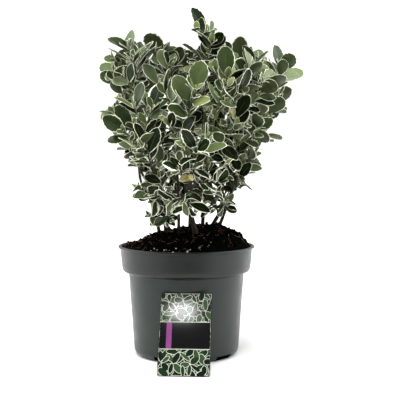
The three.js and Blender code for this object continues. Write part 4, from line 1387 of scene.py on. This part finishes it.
soil_mesh, litter_mesh = Mesh(), Mesh()
add_soil_body(soil_mesh)
add_crumbs(soil_mesh, 520, (1.2, 4.2), (0.6, 1.0), "compost", 3)
add_crumbs(soil_mesh, 150, (1.5, 5.0), (0.25, 0.6), "bark_chip", 4, sunk=0.2)
add_crumbs(soil_mesh, 70, (1.5, 4.6), (0.2, 0.5), "bark_chip", 5, LEFT_EDGE, sunk=0.15)
add_crumbs(soil_mesh, 16, (0.5, 1.3), (0.7, 1.0), "perlite", 6)
add_crumbs(soil_mesh, 26, (0.7, 1.5), (0.7, 1.0), "perlite", 7, FRONT_EDGE)
soil_mesh.piece("compost", soil_materials, "soil", ["soil"], sharp=50)
add_fibres(litter_mesh, 90, (5, 16), (0.18, 0.4), "fibre", 8)
add_fibres(litter_mesh, 60, (6, 18), (0.25, 0.6), "bark_chip", 9, LEFT_EDGE, rise=0.35)
add_fibres(litter_mesh, 26, (6, 15), (0.2, 0.4), "fibre", 10, LEFT_EDGE, rise=0.3)
litter_mesh.piece("soil_litter", soil_materials, "soil", [], sharp=80)


# Card: a generic pattern of pale-outlined ovals, with a plain dark band and a plum strip

CARD_COLOURS = {
    "card_ground": (0.005, 0.008, 0.005),
    "card_oval": (0.007, 0.020, 0.0065),
    "card_leaf": (0.026, 0.050, 0.021),
    "card_pale": (0.46, 0.50, 0.40),
    "card_dark": (0.003, 0.003, 0.0035),
    "card_plum": (0.17, 0.040, 0.15),
}
CARD_SLOTS = numbered(CARD_COLOURS)
card_materials = make_materials(CARD_COLOURS, 0.12, (0.42, 0.5), (11, 4.0), (0.05, 0.05), gloss=0.02,
                                coat=0.07)
CARD_BOW = 0.9
CARD_CORNER = 2.5
CARD_COLUMNS = 5
CARD_ROWS = 12
CARD_OFF_FLOOR = 0.05
PRINT = CARD_THICKNESS - 0.05
PRINT_LAYER = 0.05
PRINT_REACH = CARD_WIDTH / 2 - 0.9
ROSETTE_ROWS = 8
ROSETTE_COLUMNS = 6
FIRST_ROSETTE = (-38, 1)
ROSETTE_STEP = 17.5
ROSETTE_ROW_STEP = 0.95
ROSETTE_SHIFT = 3
PETALS = 5
PETAL_LENGTHS = (5.4, 9.2)
PETAL_WIDTHS = (2.8, 5.0)
PETAL_REACH = 1.05
PETAL_LAYERS = 6
PETAL_OUTLINE = 0.6
PETAL_FILLS = ["card_oval", "card_ground", "card_leaf"]
EDGE = CARD_WIDTH / 2 - 1.2
BAND_OUT = PRINT + PRINT_LAYER * 8
RIM_OUT = PRINT + PRINT_LAYER * 2
# Strips of the print: colour, from x and height to x and height, how far out, and points along each side.
STRIPS = (
    ("card_pale", (-EDGE, 35, EDGE, 72), BAND_OUT + 0.03, 8),
    ("card_dark", (-EDGE, 35.8, EDGE, 71.2), BAND_OUT + 0.06, 8),
    ("card_plum", (-24, 36.2, -17, 70.8), BAND_OUT + 0.09, 8),
    ("card_pale", (-EDGE - 0.4, 1.2, -EDGE + 0.1, CARD_LENGTH - 1.2), RIM_OUT, 14),
    ("card_pale", (EDGE - 0.1, 1.2, EDGE + 0.4, CARD_LENGTH - 1.2), RIM_OUT, 14),
    ("card_pale", (-EDGE, CARD_LENGTH - 1.7, EDGE, CARD_LENGTH - 1.2), RIM_OUT, 14),
    ("card_pale", (-EDGE, 1.0, EDGE, 1.5), RIM_OUT, 14),
)


def card_place(points):
    """Points of the card (across, up along it, out from its back) where the card stands."""
    across, along, out = np.transpose(points)
    out = out + CARD_BOW * (1 - (2 * along / CARD_LENGTH - 1)**2) * 0.5
    lean, turn = math.radians(CARD_LEAN), math.radians(CARD_TURN)
    top_share = (CARD_LENGTH * math.cos(lean) - BASE_ROUND) / (band_foot - BASE_ROUND)
    wall = BASE_RADIUS + (BODY_TOP_RADIUS - BASE_RADIUS) * top_share
    away = wall + CLEAR + CARD_LENGTH * math.sin(lean)
    x = across + CARD_SLIDE
    y = -out * math.cos(lean) + along * math.sin(lean) - away
    z = out * math.sin(lean) + along * math.cos(lean) + CARD_OFF_FLOOR
    c, s = math.cos(turn), math.sin(turn)
    return np.stack([x * c - y * s, x * s + y * c, z], axis=1)


def add_plate(mesh, outline, high, kind):
    """A flat closed plate of print on the card, up to a distance from the card's back."""
    outline = np.vstack([outline, np.mean(outline, axis=0)])
    low_row, high_row = (card_place(np.column_stack([outline, np.full(len(outline), out)]))
                         for out in (PRINT, high))
    mesh.add_rings(np.stack([low_row[:-1], high_row[:-1]]), [low_row[-1], high_row[-1]], CARD_SLOTS[kind],
                   other_way=True)


def add_card_sheet(mesh):
    """The card itself: rounded corners, with enough rows along it to take its slight bow."""
    bend = CARD_CORNER * (1 - np.cos(np.linspace(0, math.pi / 2, 5)))
    straight = np.linspace(CARD_CORNER, CARD_LENGTH - CARD_CORNER, CARD_ROWS + 1)[1:-1]
    heights = np.concatenate([bend, straight, CARD_LENGTH - bend[::-1]])
    inset = np.clip(CARD_CORNER - np.minimum(heights, CARD_LENGTH - heights), 0, None)
    reach = CARD_WIDTH / 2 - CARD_CORNER + np.sqrt(np.maximum(CARD_CORNER**2 - inset**2, 0))
    x = reach[:, None] * np.linspace(-1, 1, CARD_COLUMNS)
    z = heights[:, None] + 0 * x
    sheet = np.stack([x, z, 0 * x], axis=-1).reshape(-1, 3)
    grid = np.arange(len(sheet)).reshape(x.shape)
    back = np.stack([grid[:-1, :-1], grid[1:, :-1], grid[1:, 1:], grid[:-1, 1:]], axis=-1).reshape(-1, 4)
    front = back[:, OTHER_WAY_ROUND] + len(sheet)
    border = np.concatenate([grid[:-1, 0], grid[-1, :-1], grid[:0:-1, -1], grid[0, :0:-1]])
    on = np.roll(border, -1)
    rim = np.stack([border, border + len(sheet), on + len(sheet), on], axis=-1)
    mesh.add(card_place(np.concatenate([sheet, sheet + (0, 0, CARD_THICKNESS)])),
             (np.concatenate([front, back, rim]), CARD_SLOTS["card_ground"]))


def oval(x, z, half_length, half_width, angle, corners=22):
    """A petal's outline, cut off at the card's edge."""
    turns = circle(corners)
    along = np.cos(turns) * half_length
    aside = np.sin(turns) * half_width * (1 + 0.12 * np.cos(turns))
    c, s = math.cos(angle), math.sin(angle)
    return np.stack([np.clip(x + along * c - aside * s, -PRINT_REACH, PRINT_REACH),
                     np.clip(z + along * s + aside * c, 1, CARD_LENGTH - 1)], axis=1)


def add_petal(mesh, row, column, petal):
    """One petal of a rosette: a pale oval with a smaller dark one on it, where it lies on the card."""
    shifts = [between(-ROSETTE_SHIFT, ROSETTE_SHIFT, row, column, key) for key in (31, 32)]
    z = FIRST_ROSETTE[1] + row * ROSETTE_STEP * ROSETTE_ROW_STEP + shifts[0]
    x = FIRST_ROSETTE[0] + column * ROSETTE_STEP + (row % 2) * ROSETTE_STEP / 2 + shifts[1]
    turn = between(0, 2, row, column, 33) + petal * 2 * math.pi / PETALS
    turn += between(-0.25, 0.25, row, column, petal, 34)
    long = between(*PETAL_LENGTHS, row, column, petal, 35)
    wide = between(*PETAL_WIDTHS, row, column, petal, 36)
    x, z = x + math.cos(turn) * long * PETAL_REACH, z + math.sin(turn) * long * PETAL_REACH
    if abs(x) > CARD_WIDTH / 2 - 2 or not 2 < z < CARD_LENGTH - 2:
        return
    top = PRINT + PRINT_LAYER * (2 + (row + 2 * column + petal) % PETAL_LAYERS)
    add_plate(mesh, oval(x, z, long, wide, turn), top, "card_pale")
    add_plate(mesh, oval(x, z, long - PETAL_OUTLINE, wide - PETAL_OUTLINE, turn), top + 0.02,
              PETAL_FILLS[(row + column + petal) % len(PETAL_FILLS)])


card_mesh = Mesh()
add_card_sheet(card_mesh)
for row in range(ROSETTE_ROWS):
    for column in range(ROSETTE_COLUMNS):
        for petal in range(PETALS):
            add_petal(card_mesh, row, column, petal)
for kind, (x0, z0, x1, z1), out, steps in STRIPS:
    heights = np.linspace(z0, z1, steps)
    add_plate(card_mesh, [(x1, z) for z in heights] + [(x0, z) for z in heights[::-1]], out, kind)
card_mesh.piece("card_with_pattern", card_materials, "card", ["label_card"], sharp=30)


# Stage, light and camera

FRONT_ROOM = 0.1
BACK_WALL = 0.85
LEFT_LIGHT = 1.3
RIGHT_LIGHT = 2.5
HIGH_LIGHT = 3.8
CEILING = 0.3
BACKDROP = 1.12

floor_mesh = bpy.data.meshes.new("floor")
floor_mesh.from_pydata([(-6, -0.42, 0), (6, -0.42, 0), (6, 6, 0), (-6, 6, 0)], [], [(0, 1, 2, 3)])
floor_mesh.materials.append(make_material("floor_white", (0.905, 0.905, 0.90), 0.01, (0.6, 0.7), (90, 2),
                                          (0.03, 0.05), gloss=0.1))
floor = linked("floor", floor_mesh)
floor.location.z = -0.0002

world = bpy.data.worlds.new("studio")
world.use_nodes = True
nodes, links = world.node_tree.nodes, world.node_tree.links
direction = nodes.new("ShaderNodeSeparateXYZ")
links.new(nodes.new("ShaderNodeTexCoord").outputs["Generated"], direction.inputs["Vector"])


def ramped(axis, low, high, at_low, at_high):
    """A number that runs from one value to another as a part of the direction goes from low to high."""
    node = nodes.new("ShaderNodeMapRange")
    links.new(direction.outputs[axis], node.inputs["Value"])
    for socket, value in (("From Min", low), ("From Max", high), ("To Min", at_low), ("To Max", at_high)):
        if isinstance(value, float):
            node.inputs[socket].default_value = value
        else:
            links.new(value, node.inputs[socket])
    return node.outputs["Result"]


def added(one, other):
    """The sum of two outputs."""
    node = nodes.new("ShaderNodeMath")
    links.new(one, node.inputs[0])
    links.new(other, node.inputs[1])
    return node.outputs["Value"]


# A white wall behind, a dim room in front, a dim ceiling and a large soft light on each side; the backdrop is
# seen white.
room = ramped("Z", 0.2, 0.5, ramped("Y", -0.75, -0.1, FRONT_ROOM, BACK_WALL), CEILING)
left = ramped("X", -0.5, -0.9, 0.0, ramped("Z", 0.05, 0.25, LEFT_LIGHT, HIGH_LIGHT))
right = ramped("X", 0.5, 0.9, 0.0, ramped("Z", 0.05, 0.25, RIGHT_LIGHT, HIGH_LIGHT))
lit, backdrop = nodes["Background"], nodes.new("ShaderNodeBackground")
choice = nodes.new("ShaderNodeMixShader")
links.new(added(room, added(left, right)), lit.inputs["Strength"])
set_values(lit, Color=(1, 1, 1, 1))
set_values(backdrop, Color=(1, 1, 1, 1), Strength=BACKDROP)
links.new(nodes.new("ShaderNodeLightPath").outputs["Is Camera Ray"], choice.inputs["Fac"])
links.new(lit.outputs["Background"], choice.inputs[1])
links.new(backdrop.outputs["Background"], choice.inputs[2])
links.new(choice.outputs["Shader"], nodes["World Output"].inputs["Surface"])
bpy.context.scene.world = world


def add_light(kind, name, place, target, power, **settings):
    """A light at a place in metres, pointed at its target."""
    light = bpy.data.lights.new(name, kind)
    light.energy = power
    for setting, value in settings.items():
        setattr(light, setting, value)
    holder = linked(name, light)
    holder.location = place
    holder.rotation_euler = (Vector(target) - Vector(place)).to_track_quat("-Z", "Y").to_euler()


add_light("SUN", "overhead", (-0.14, -0.5, 2.0), (0, 0, 0), 4.0, angle=math.radians(36))
add_light("AREA", "key", (-0.275, -1.475, 1.775), (0, 0, 0.2), 7.0, shape="DISK", size=0.1)

camera_data = bpy.data.cameras.new("camera")
camera_data.sensor_width = 36
camera_data.lens = 80.753
camera_data.clip_start = 0.05
camera = linked("camera", camera_data)
camera.location = (-0.0001, -1.24988, 0.28710)
camera.rotation_euler = (math.radians(90 - 3.304), 0, math.radians(-0.879))
bpy.context.scene.camera = camera
bpy.context.scene.view_settings.view_transform = "Standard"
